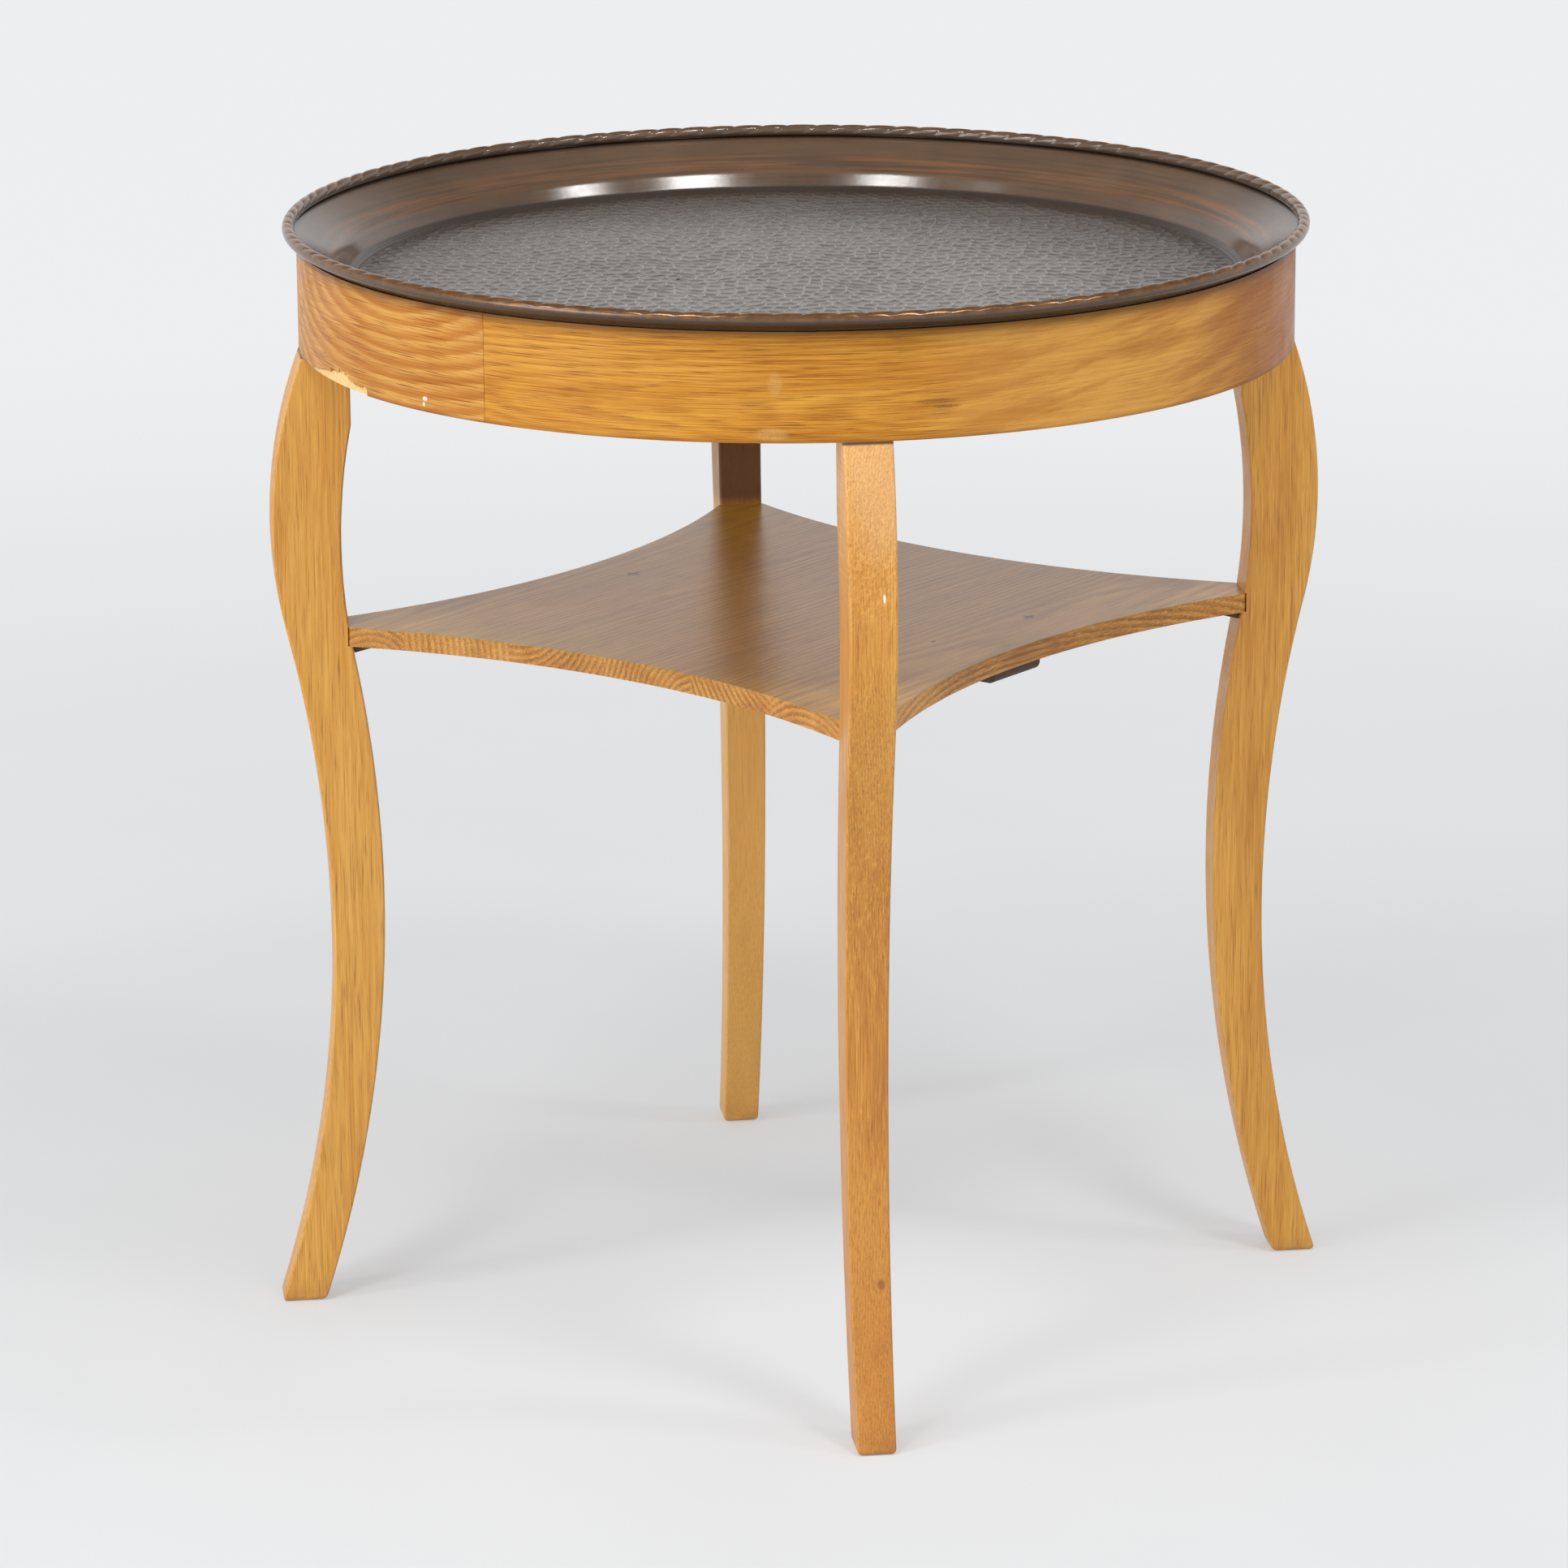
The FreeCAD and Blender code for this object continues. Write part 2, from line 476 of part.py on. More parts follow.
def tray_pan():
    """The copper tray: flat floor, coved wall, flared lip and an edge curled inwards over a wire."""
    body = new_body("tray_pan")
    section = new_sketch(body, "tray_section", "XZ_Plane")
    wall_slope, lip_slope = math.radians(size("wall_slope")), math.radians(size("lip_slope"))
    end = math.radians(size("roll_end_slope")) + math.pi
    up_wall, wall_out = slope_vectors("wall_slope")
    up_lip, lip_out = slope_vectors("lip_slope")
    roll, bore, thickness = size("roll_radius"), size("roll_bore"), size("tray_sheet")
    cove, flare = size("floor_bend"), size("lip_bend")
    rim = FreeCAD.Vector(size("rim_radius"), size("rim_height"), 0)
    cove_centre = FreeCAD.Vector(size("floor_radius"), size("floor_top") + cove, 0)
    wall_foot = cove_centre + wall_out * cove
    lip_end = rim + lip_out * bore
    # Wall and lip would meet in this corner; the bend between them starts and ends a setback from it
    gap = lip_end - wall_foot
    run = (gap.y - gap.x * up_lip.y / up_lip.x) / (up_wall.y - up_wall.x * up_lip.y / up_lip.x)
    corner = wall_foot + up_wall * run
    setback = flare * math.tan((wall_slope - lip_slope) / 2)
    wall_head = corner - up_wall * setback
    lip_foot = corner + up_lip * setback
    flare_centre = wall_head + wall_out * flare
    floor_end = FreeCAD.Vector(size("floor_radius"), size("floor_top"), 0)
    floor_end_below = FreeCAD.Vector(size("floor_radius"), size("board_top"), 0)
    middle = FreeCAD.Vector(0, size("floor_top"), 0)
    middle_below = FreeCAD.Vector(0, size("board_top"), 0)
    ray = FreeCAD.Vector(math.cos(end), math.sin(end), 0)
    quarter = math.pi / 2
    outline = (
        Part.LineSegment(middle, floor_end),
        bent(cove_centre, cove, -quarter, wall_slope - quarter),
        Part.LineSegment(wall_foot, wall_head),
        bent(flare_centre, flare, lip_slope + quarter, wall_slope + quarter),
        Part.LineSegment(lip_foot, lip_end),
        bent(rim, bore, lip_slope - quarter, end),
        Part.LineSegment(rim + ray * bore, rim + ray * roll),
        bent(rim, roll, lip_slope - quarter, end),
        Part.LineSegment(rim + lip_out * roll, lip_foot + lip_out * thickness),
        bent(flare_centre, flare - thickness, lip_slope + quarter, wall_slope + quarter),
        Part.LineSegment(wall_head + wall_out * thickness, wall_foot + wall_out * thickness),
        bent(cove_centre, cove + thickness, -quarter, wall_slope - quarter),
        Part.LineSegment(floor_end_below, middle_below),
        Part.LineSegment(middle_below, middle),
    )
    for curve in outline:
        section.addGeometry(curve)
    (floor, cove_in, wall, flare_in, lip, roll_in, roll_end, roll_out, under_lip, flare_out, under_wall, cove_out,
     under_floor, axis) = range(len(outline))
    smooth = ((floor, 2, cove_in, 1), (cove_in, 2, wall, 1), (wall, 2, flare_in, 2), (flare_in, 1, lip, 1),
              (lip, 2, roll_in, 1), (roll_out, 1, under_lip, 1), (under_lip, 2, flare_out, 1),
              (flare_out, 2, under_wall, 1), (under_wall, 2, cove_out, 2), (cove_out, 1, under_floor, 1))
    for joint in smooth:
        section.addConstraint(Sketcher.Constraint("Tangent", *joint))
    plain = ((roll_in, 2, roll_end, 1), (roll_end, 2, roll_out, 2), (under_floor, 2, axis, 1), (axis, 2, floor, 1),
             (roll_in, 3, roll_out, 3), (cove_out, 3, cove_in, 3), (flare_out, 3, flare_in, 3))
    for joint in plain:
        section.addConstraint(Sketcher.Constraint("Coincident", *joint))
    section.addConstraint(Sketcher.Constraint("Horizontal", floor))
    section.addConstraint(Sketcher.Constraint("Horizontal", under_floor))
    section.addConstraint(Sketcher.Constraint("Parallel", lip, under_lip))
    section.addConstraint(Sketcher.Constraint("PointOnObject", roll_out, 3, roll_end))
    place(section, axis, 1, None, "board_top")
    place(section, axis, 2, None, "floor_top")
    place(section, roll_out, 3, "rim_radius", "rim_height")
    drive(section, Sketcher.Constraint("DistanceX", -1, 1, floor, 2, floor_end.x), "Sizes.floor_radius")
    for curve, radius in ((roll_out, "roll_radius"), (roll_in, "roll_bore"), (cove_in, "floor_bend"),
                          (flare_in, "lip_bend")):
        drive(section, Sketcher.Constraint("Radius", curve, size(radius)), "Sizes." + radius)
    for line, slope in ((wall, "wall_slope"), (lip, "lip_slope"), (roll_end, "roll_end_slope")):
        held = math.radians(size(slope)) + (math.pi if line == roll_end else 0)
        turned = "Sizes.%s * 1 deg" % slope + (" + 180 deg" if line == roll_end else "")
        drive(section, Sketcher.Constraint("Angle", line, held), turned)
    revolve(body, section, "360")
    return body


def rim_wire():
    """The steel wire that the tray's edge is rolled over."""
    wire = doc.addObject("Part::Torus", "tray_rim_wire")
    wire.Label = "tray_rim_wire"
    bind(wire, Radius1="Sizes.rim_radius", Radius2="Sizes.wire_radius", Placement__Base__z="Sizes.rim_height")
    return wire


def disc(label, radius, bottom, thickness):
    """A plain round board."""
    board = doc.addObject("Part::Cylinder", label)
    bind(board, Radius="Sizes." + radius, Height="Sizes." + thickness, Placement__Base__z="Sizes." + bottom)
    return board


def tray_room():
    """The room that the hoop's bevelled inner edge leaves for the tray's wall and lip: two cones."""
    cones = []
    for name, low, high, foot, top in (("wall", "bevel_low", "bevel_knee", "board_top", "bevel_knee_height"),
                                       ("lip", "bevel_knee", "bevel_high", "bevel_knee_height", "rim_height")):
        cone = doc.addObject("Part::Cone", "%s_room" % name)
        bind(cone, Radius1="Sizes." + low, Radius2="Sizes." + high, Height="Sizes.%s - Sizes.%s" % (top, foot),
             Placement__Base__z="Sizes." + foot)
        cones.append(cone)
    return cones


def long_edges(shape):
    """Names of the leg's long edges: the curved arrises below the hoop and the foot's lower edges."""
    names = []
    for number, edge in enumerate(shape.Edges, start=1):
        box = edge.BoundBox
        across = box.YLength < size("leg_width_top") / 2
        below = box.ZMax < size("hoop_bottom") + size("core_ply")
        upright = box.ZLength > size("leg_width_foot")
        if across and below and upright:
            names.append("Edge%d" % number)
    return names


def leg(label, turn):
    """One S-curved leg: side outline sawn from a plank, sides planed to a taper, edges eased."""
    body = new_body(label, turn)
    outline = new_sketch(body, label + "_outline", "XZ_Plane")
    corners = (
        ("foot_outer", None),
        ("waist_outer", "waist_height"),
        ("outer_turn", "outer_turn_height"),
        ("knee_outer", "knee_height"),
        ("hoop_outer_radius", "hoop_bottom"),
        ("stub_outer", "hoop_bottom"),
        ("stub_outer", "board_bottom"),
        ("stub_inner", "board_bottom"),
        ("stub_inner", "inner_shoulder"),
        ("inner_knee", "inner_knee_height"),
        ("inner_turn", "inner_turn_height"),
        ("inner_waist", "inner_waist_height"),
        ("foot_inner", None),
    )
    arcs = {0: "last", 1: "first", 2: "last", 3: "first", 8: "last", 9: "first", 10: "last", 11: "first"}
    draw_outline(outline, corners, arcs)
    pad(body, outline, "leg_width_top", symmetric=True)
    for side in (1, -1):
        taper_side(body, label, side)
    tapered = body.Tip
    rounded = body.newObject("PartDesign::Fillet", label + "_eased")
    rounded.Base = (tapered, long_edges(tapered.Shape))
    bind(rounded, Radius="Sizes.leg_easing")
    body.Tip = rounded
    doc.recompute()
    housing = new_sketch(body, label + "_housing", "XZ_Plane")
    notch = ((None, "shelf_bottom"), ("shelf_seat", "shelf_bottom"), ("shelf_seat", "shelf_top"), (None, "shelf_top"))
    draw_outline(housing, notch)
    pocket(body, housing)
    return body


def taper_side(body, label, side):
    """Plane one side of a leg to its taper: a long wedge comes off from the hoop down to the foot."""
    wedge = new_sketch(body, "%s_wedge_%s" % (label, "a" if side > 0 else "b"), "YZ_Plane")
    sign = "" if side > 0 else "-"
    corners = ((sign + "half_width_foot", None), (sign + "leg_width_top", None),
               (sign + "half_width_top", "hoop_bottom"))
    points = [FreeCAD.Vector(signed(across), signed(up), 0) for across, up in corners]
    for edge, start in enumerate(points):
        wedge.addGeometry(Part.LineSegment(start, points[(edge + 1) % len(points)]))
    for edge, (across, up) in enumerate(corners):
        wedge.addConstraint(Sketcher.Constraint("Coincident", edge, 2, (edge + 1) % len(corners), 1))
        held = Sketcher.Constraint("DistanceX", -1, 1, edge, 1, points[edge].x)
        drive(wedge, held, sign + "Sizes." + across.lstrip("-"))
        if up is None:
            wedge.addConstraint(Sketcher.Constraint("PointOnObject", edge, 1, -1))
        else:
            drive(wedge, Sketcher.Constraint("DistanceY", -1, 1, edge, 1, points[edge].y), "Sizes." + up)
    pocket(body, wedge)


def pocket(body, sketch):
    """Cut a sketch right through the body, both ways."""
    before = body.Tip.Shape.Volume
    hollow = body.newObject("PartDesign::Pocket", sketch.Name + "_cut")
    hollow.Profile = sketch
    hollow.SideType = "Symmetric"
    hollow.Type = "ThroughAll"
    doc.recompute()
    if hollow.Shape.Volume >= before:
        raise RuntimeError("%s cut nothing" % hollow.Name)


def shelf_blank():
    """The whole shelf before it is divided: a square hollowed on all four sides, corners rounded."""
    square = doc.addObject("Part::Box", "shelf_square")
    bind(square, Length="2 * Sizes.shelf_seat", Width="2 * Sizes.shelf_seat", Height="Sizes.shelf_thickness",
         Placement__Base__x="-Sizes.shelf_seat", Placement__Base__y="-Sizes.shelf_seat",
         Placement__Base__z="Sizes.shelf_bottom")
    hollows = []
    for side_x in (1, -1):
        for side_y in (1, -1):
            hollow = doc.addObject("Part::Cylinder", "shelf_hollow")
            bind(hollow, Radius="Sizes.hollow_radius", Height="Sizes.shelf_thickness",
                 Placement__Base__x="%d * Sizes.hollow_centre" % side_x,
                 Placement__Base__y="%d * Sizes.hollow_centre" % side_y,
                 Placement__Base__z="Sizes.shelf_bottom")
            hollows.append(hollow)
    hollowed = cut("shelf_hollowed", square, hollows)
    rounded = doc.addObject("Part::Fillet", "shelf_rounded")
    rounded.Base = hollowed
    radius = size("shelf_rounding")
    upright = [number for number, edge in enumerate(hollowed.Shape.Edges, start=1)
               if edge.BoundBox.ZLength > size("shelf_thickness") / 2]
    rounded.Edges = [(number, radius, radius) for number in upright]
    doc.recompute()
    return rounded


def stave(number, blank):
    """One stave of the shelf: the blank between two glue joints."""
    slab = doc.addObject("Part::Box", "stave_slab_%d" % number)
    low = "Sizes.stave_joint_%d" % number
    high = "Sizes.stave_joint_%d" % (number + 1)
    bind(slab, Length="4 * Sizes.shelf_seat", Width="%s - %s" % (high, low), Height="Sizes.shelf_thickness",
         Placement__Base__x="(-2 * Sizes.shelf_seat - %s) / sqrt(2)" % low,
         Placement__Base__y="(-2 * Sizes.shelf_seat + %s) / sqrt(2)" % low,
         Placement__Base__z="Sizes.shelf_bottom")
    slab.Placement.Rotation = FreeCAD.Rotation(FreeCAD.Vector(0, 0, 1), SHELF_TURN)
    piece = doc.addObject("Part::Common", "shelf_stave_%d" % (number + 1))
    piece.Label = piece.Name
    piece.Base = blank
    piece.Tool = slab
    return piece


def glue_block(label, turn):
    """A small wedge-ended block that carries a corner of the shelf against its leg."""
    body = new_body(label, turn)
    side = new_sketch(body, label + "_side", "XZ_Plane")
    corners = (("block_end", "block_edge"), ("block_heel", "block_foot"), ("block_face", "shelf_bottom"),
               ("block_end", "shelf_bottom"))
    draw_outline(side, corners)
    pad(body, side, "block_width", symmetric=True)
    return body


def batten():
    """The batten that keeps the staves flat, across their grain, with its lower end edges rounded."""
    body = new_body("batten_blank", SHELF_TURN)
    plan = new_sketch(body, "batten_side", "YZ_Plane")
    length, low, high = size("batten_half_length"), size("batten_bottom"), size("shelf_bottom")
    points = [FreeCAD.Vector(x, y, 0) for x, y in ((-length, low), (length, low), (length, high), (-length, high))]
    names = (("-", "batten_bottom"), ("", "batten_bottom"), ("", "shelf_bottom"), ("-", "shelf_bottom"))
    for edge, start in enumerate(points):
        plan.addGeometry(Part.LineSegment(start, points[(edge + 1) % len(points)]))
    for edge, (sign, up) in enumerate(names):
        plan.addConstraint(Sketcher.Constraint("Coincident", edge, 2, (edge + 1) % len(points), 1))
        held = Sketcher.Constraint("DistanceX", -1, 1, edge, 1, points[edge].x)
        drive(plan, held, sign + "Sizes.batten_half_length")
        drive(plan, Sketcher.Constraint("DistanceY", -1, 1, edge, 1, points[edge].y), "Sizes." + up)
    bar = pad(body, plan, "batten_width", symmetric=True)
    ends = []
    for number, edge in enumerate(bar.Shape.Edges, start=1):
        box = edge.BoundBox
        along = box.XLength > size("batten_width") / 2
        if along and box.ZMax < size("shelf_bottom") - size("batten_thickness") / 2:
            ends.append("Edge%d" % number)
    rounded = body.newObject("PartDesign::Fillet", "batten_rounded")
    rounded.Base = (bar, ends)
    bind(rounded, Radius="Sizes.batten_rounding")
    body.Tip = rounded
    doc.recompute()
    return body


def check(nodes):
    """Stop unless every object was worked out and every piece is whole."""
    for thing in doc.Objects:
        if "Invalid" in thing.State or "Error" in thing.State:
            raise RuntimeError("%s is %s" % (thing.Name, thing.State))
    for node in nodes:
        if node.Shape.isNull() or not node.Shape.isValid():
            raise RuntimeError("%s has no sound shape" % node.Label)


def write(nodes):
    """One file for each piece, and a line saying what is in it."""
    os.makedirs("parts", exist_ok=True)
    for node in nodes:
        node.Shape.exportStep("parts/%s.step" % node.Label)
        print("%s: %d solids, %.0f cubic mm" % (node.Label, len(node.Shape.Solids), node.Shape.Volume))


fill_sheet()

dowels = dowel_pins("shelf_dowels", "dowel_radius")
apron_screws = apron_pins("apron_screws", "screw_radius", True)
board_screws = board_pins("board_screws", "screw_radius", "screw_head_radius")
batten_screws = batten_pins("batten_screws", "screw_radius", True)
dowel_bores = dowel_pins("dowel_bores", "dowel_bore")
apron_bores = apron_pins("apron_bores", "screw_bore", False)
board_bores = board_pins("board_bores", "screw_bore", "head_bore")
batten_bores = batten_pins("batten_bores", "screw_bore", False)

nodes = [tray_pan(), rim_wire()]
bevel = tray_room()
plies = (("inner", "hoop_inner", "inner_ply_outside"), ("outer", "outer_ply_inside", "outer_ply_outside"))
for layer, inside, outside in plies:
    bent = hoop_layer("%s_ply" % layer, inside, outside, "ply_sweep", "Sizes.%s_ply_turn" % layer)
    nodes.append(cut("apron_core_%s" % layer, bent, bevel + [apron_bores]))
for strip in range(STRIPS):
    bearing = "Sizes.veneer_seam_turn + %d * Sizes.strip_sweep" % strip
    nodes.append(hoop_layer("apron_veneer_%d" % (strip + 1), "veneer_inner", "hoop_outer_radius", "veneer_sweep",
                            bearing))
nodes.append(cut("tray_board", disc("board_blank", "board_radius", "board_bottom", "board_thickness"),
                 [board_bores]))
for side, bearing in LEGS:
    nodes.append(cut("leg_%s" % side, leg("leg_blank_%s" % side, bearing),
                     [dowel_bores, apron_bores, board_bores]))
bored_shelf = cut("shelf_bored", shelf_blank(), [dowel_bores, batten_bores])
for number in range(STAVES):
    nodes.append(stave(number, bored_shelf))
for side, bearing in LEGS:
    nodes.append(glue_block("shelf_block_%s" % side, bearing))
nodes.append(cut("shelf_batten", batten(), [batten_bores]))
nodes += [dowels, apron_screws, board_screws, batten_screws]

doc.recompute()
check(nodes)
write(nodes)
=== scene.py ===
# %% [markdown]
# A smoking table: a loose hammered copper tray lies in a veneered oak hoop on four sawn legs, with
# a square shelf between them. The solid model gives every size and place. This lesson keeps the
# solids whose shape is right and gives them their finishes, and works out new surfaces where the
# real thing has relief or wear: the beaten tray floor, the notched rim, the chipped veneer and the
# rounded feet. Lengths are in metres.

# %% Load the frame
import bmesh
import bpy
import numpy as np
from mathutils import Matrix


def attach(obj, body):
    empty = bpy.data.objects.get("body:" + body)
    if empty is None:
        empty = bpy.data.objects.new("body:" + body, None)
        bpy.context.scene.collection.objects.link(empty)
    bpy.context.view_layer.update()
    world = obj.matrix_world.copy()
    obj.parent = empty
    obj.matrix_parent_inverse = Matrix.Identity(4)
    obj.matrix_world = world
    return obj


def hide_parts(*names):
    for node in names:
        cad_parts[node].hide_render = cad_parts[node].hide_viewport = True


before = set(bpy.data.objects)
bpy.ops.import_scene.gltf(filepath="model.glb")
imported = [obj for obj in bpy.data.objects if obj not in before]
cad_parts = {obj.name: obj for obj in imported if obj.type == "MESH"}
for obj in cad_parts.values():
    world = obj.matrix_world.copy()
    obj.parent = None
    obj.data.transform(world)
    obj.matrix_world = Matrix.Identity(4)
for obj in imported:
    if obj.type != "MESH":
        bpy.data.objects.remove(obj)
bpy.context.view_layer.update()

# %% [markdown]
# The camera stands where the photographer stood: about four metres off and 1.4 m up, with a long
# lens. Its place was found by fitting the round hoop, the rim and the four feet. The axes of the
# camera are worked out from pitch, roll and yaw, because a matrix leaves no doubt about their order.
# Angles are in radians, the lens in millimetres.

# %% Camera
CAMERA_BACK, CAMERA_HEIGHT = 3.8910, 1.3859
CAMERA_PITCH, CAMERA_ROLL, CAMERA_YAW = 0.2702, -0.0062, -0.0023
TABLE_TURN = 0.1339
CAMERA_LENS = 154.82


def turned(vector, angle):
    """A vector turned about the upright axis: x' = x cos - y sin, y' = x sin + y cos."""
    x, y, z = vector
    cos, sin = np.cos(angle), np.sin(angle)
    return np.array([x * cos - y * sin, x * sin + y * cos, z])


def put(name, data):
    """A new object for a mesh, a lamp or a camera, in the scene."""
    thing = bpy.data.objects.new(name, data)
    bpy.context.scene.collection.objects.link(thing)
    return thing


flat = np.cos(CAMERA_PITCH)
ahead = np.array([np.sin(CAMERA_YAW) * flat, np.cos(CAMERA_YAW) * flat, -np.sin(CAMERA_PITCH)])
right = np.array([np.cos(CAMERA_YAW), -np.sin(CAMERA_YAW), 0.0])
above = np.cross(right, ahead)
rolled_right = np.cos(CAMERA_ROLL) * right + np.sin(CAMERA_ROLL) * above
rolled_above = np.cos(CAMERA_ROLL) * above - np.sin(CAMERA_ROLL) * right
stand = turned((0.0, -CAMERA_BACK, CAMERA_HEIGHT), -TABLE_TURN)
columns = [turned(axis, -TABLE_TURN) for axis in (rolled_right, rolled_above, -ahead)] + [stand]
camera_matrix = np.vstack([np.column_stack(columns), [0.0, 0.0, 0.0, 1.0]])

lens = bpy.data.cameras.new("photo_camera")
lens.lens = CAMERA_LENS
camera = put("photo_camera", lens)
camera.matrix_world = Matrix(camera_matrix.tolist())
bpy.context.scene.camera = camera
bpy.context.scene.view_settings.view_transform = "Standard"
print("camera at", np.round(stand, 3))

# %% [markdown]
# A finish is a small graph of nodes. Writing each node by hand hides what the finish does, so this
# helper adds one node for each step of the thought - stretch the grain, find the growth rings, darken
# the pores - and hands back its output. Colours go on as coats over a ground, one after another, each
# with the share it covers. Numbers that are the same all over go straight onto sockets.

# %% A helper for finishes


def paint(red, green, blue):
    """Screen colour in 0 to 255 turned to light: ((c + 0.055) / 1.055) to the power 2.4."""
    screen = np.array([red, green, blue]) / 255.0
    light = np.where(screen > 0.04045, ((screen + 0.055) / 1.055) ** 2.4, screen / 12.92)
    return (*light.tolist(), 1.0)


class Graph:
    """Nodes in the making; each method adds what it needs and returns an output."""

    def __init__(self, tree):
        self.nodes, self.links = tree.nodes, tree.links

    def feed(self, socket, value):
        """Join an output to a socket, or write a plain value on it."""
        if isinstance(value, bpy.types.NodeSocket):
            self.links.new(value, socket)
        else:
            socket.default_value = value

    def fill(self, node, **inputs):
        """Feed sockets of a node by name, with _ for a space, and return its first output."""
        for socket, value in inputs.items():
            self.feed(node.inputs[socket.replace("_", " ")], value)
        return node.outputs[0]

    def add(self, kind, *inputs, **settings):
        """One node with its settings; inputs fill its sockets in order."""
        node = self.nodes.new("ShaderNode" + kind)
        for name, value in settings.items():
            setattr(node, name, value)
        for socket, value in zip(node.inputs, inputs):
            self.feed(socket, value)
        return node

    def place(self):
        """Position on the object, in metres."""
        return self.add("TexCoord").outputs["Object"]

    def split(self, vector):
        """The three parts of a vector."""
        return self.add("SeparateXYZ", vector).outputs[:]

    def join(self, x, y, z):
        """A vector from three numbers."""
        return self.add("CombineXYZ", x, y, z).outputs[0]

    def math(self, operation, *values):
        """One sum on numbers."""
        return self.add("Math", *values, operation=operation).outputs[0]

    def times(self, value, factor):
        """Two numbers multiplied."""
        return self.math("MULTIPLY", value, factor)

    def plus(self, value, other):
        """Two numbers added."""
        return self.math("ADD", value, other)

    def minus(self, value, other):
        """One number less another."""
        return self.math("SUBTRACT", value, other)

    def length(self, first, second):
        """Root of the sum of two squares."""
        return self.math("SQRT", self.plus(self.times(first, first), self.times(second, second)))

    def noise(self, vector, scale, detail=3.0, roughness=0.5):
        """Cloudy noise between 0 and 1."""
        return self.fill(self.add("TexNoise"), Vector=vector, Scale=scale,
                         Detail=detail, Roughness=roughness)

    def span(self, value, low, high, start=0.0, stop=1.0, kind="SMOOTHSTEP"):
        """A number carried from one span to another and held at its ends."""
        return self.add("MapRange", value, low, high, start, stop, interpolation_type=kind).outputs[0]

    def oval(self, first, second, middle, reach):
        """1 at the middle of an oval on two coordinates, fading to 0 at its reach both ways."""
        shares = [self.times(self.plus(value, -at), 1.0 / size)
                  for value, at, size in zip((first, second), middle, reach)]
        squares = [self.times(share, share) for share in shares]
        return self.span(self.plus(*squares), 0.2, 1.0, 1.0, 0.0)

    def ramp(self, value, *stops):
        """Colours along a number; each stop is a place and a colour."""
        node = self.add("ValToRGB", value)
        marks = node.color_ramp.elements
        while len(marks) < len(stops):
            marks.new(1.0)
        for mark, (at, colour) in zip(marks, stops):
            mark.position, mark.color = at, colour
        return node.outputs[0]

    def coats(self, ground, *coats):
        """Colours laid over a ground one after another; each coat is a share and a colour."""
        for coat in coats:
            node = self.add("Mix", data_type="RGBA")
            for number, value in zip((0, 6, 7), (coat[0], ground, coat[1])):
                self.feed(node.inputs[number], value)
            ground = node.outputs[2]
        return ground

    def seen(self):
        """1 on rays from the eye, off mirrors and through glass, 0 on rays that only light."""
        ray = self.add("LightPath").outputs
        looked_at = self.math("MAXIMUM", ray["Is Camera Ray"], ray["Is Glossy Ray"])
        return self.math("MAXIMUM", looked_at, ray["Is Transmission Ray"])


class Finish(Graph):
    """A material in the making: a graph with a shader at its end."""

    def __init__(self, name, **inputs):
        self.material = bpy.data.materials.new(name)
        self.material.use_nodes = True
        super().__init__(self.material.node_tree)
        self.shader = self.nodes["Principled BSDF"]
        self.set(**inputs)

    def set(self, **inputs):
        """Feed inputs of the shader."""
        self.fill(self.shader, **inputs)

    def relief(self, height, distance):
        """Bumps of a height in metres for a height signal of 0 to 1."""
        self.set(Normal=self.fill(self.add("Bump"), Distance=distance, Height=height))


print("mid grey as light:", np.round(paint(128, 128, 128), 3))

# %% [markdown]
# All new surfaces are grids: rows of points in one direction, columns in the other. One function
# joins neighbours into four-cornered faces, and closes the grid on itself where a shape runs round.
# Another puts points and faces into a mesh in one go, which stays quick for a hundred thousand faces.

# %% Grid surfaces


def grid_faces(rows, columns, round_rows=False, round_columns=False):
    """Corner numbers of the faces between neighbours of a rows by columns grid: point (i, j) joins
    (i, j + 1), (i + 1, j + 1) and (i + 1, j), taken round the end where the grid is closed."""
    row_steps = np.arange(rows if round_rows else rows - 1)
    column_steps = np.arange(columns if round_columns else columns - 1)
    i, j = np.meshgrid(row_steps, column_steps, indexing="ij")
    below, beside = (i + 1) % rows, (j + 1) % columns
    corners = (i * columns + j, i * columns + beside, below * columns + beside, below * columns + j)
    return np.stack(corners, axis=-1).reshape(-1, 4)


def make_mesh(name, points, faces, sharp=35.0):
    """A mesh from an array of points and arrays of faces, shaded smooth except at edges that turn by
    more than sharp degrees."""
    mesh = bpy.data.meshes.new(name)
    counts = np.concatenate([np.full(len(part), part.shape[1]) for part in faces])
    corners = np.concatenate([part.ravel() for part in faces])
    starts = np.concatenate([[0], np.cumsum(counts)[:-1]])
    mesh.vertices.add(len(points))
    mesh.vertices.foreach_set("co", np.ascontiguousarray(points, dtype=np.float32).ravel())
    mesh.loops.add(len(corners))
    mesh.loops.foreach_set("vertex_index", corners.astype(np.int32))
    mesh.polygons.add(len(counts))
    mesh.polygons.foreach_set("loop_start", starts.astype(np.int32))
    mesh.update(calc_edges=True)
    mesh.validate()
    mesh.shade_smooth()
    mesh.set_sharp_from_angle(angle=np.radians(sharp))
    return mesh


def make_piece(mesh, finish, body, slot, *replaced):
    """An object for a mesh, with its finish, riding on a body and standing for solids."""
    piece = put(mesh.name, mesh)
    mesh.materials.append(finish.material)
    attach(piece, body)
    if replaced:
        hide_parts(*replaced)
    triangles = len(mesh.loops) - 2 * len(mesh.polygons)
    print("%s: %d points, %d triangles" % (mesh.name, len(mesh.vertices), triangles))
    return piece


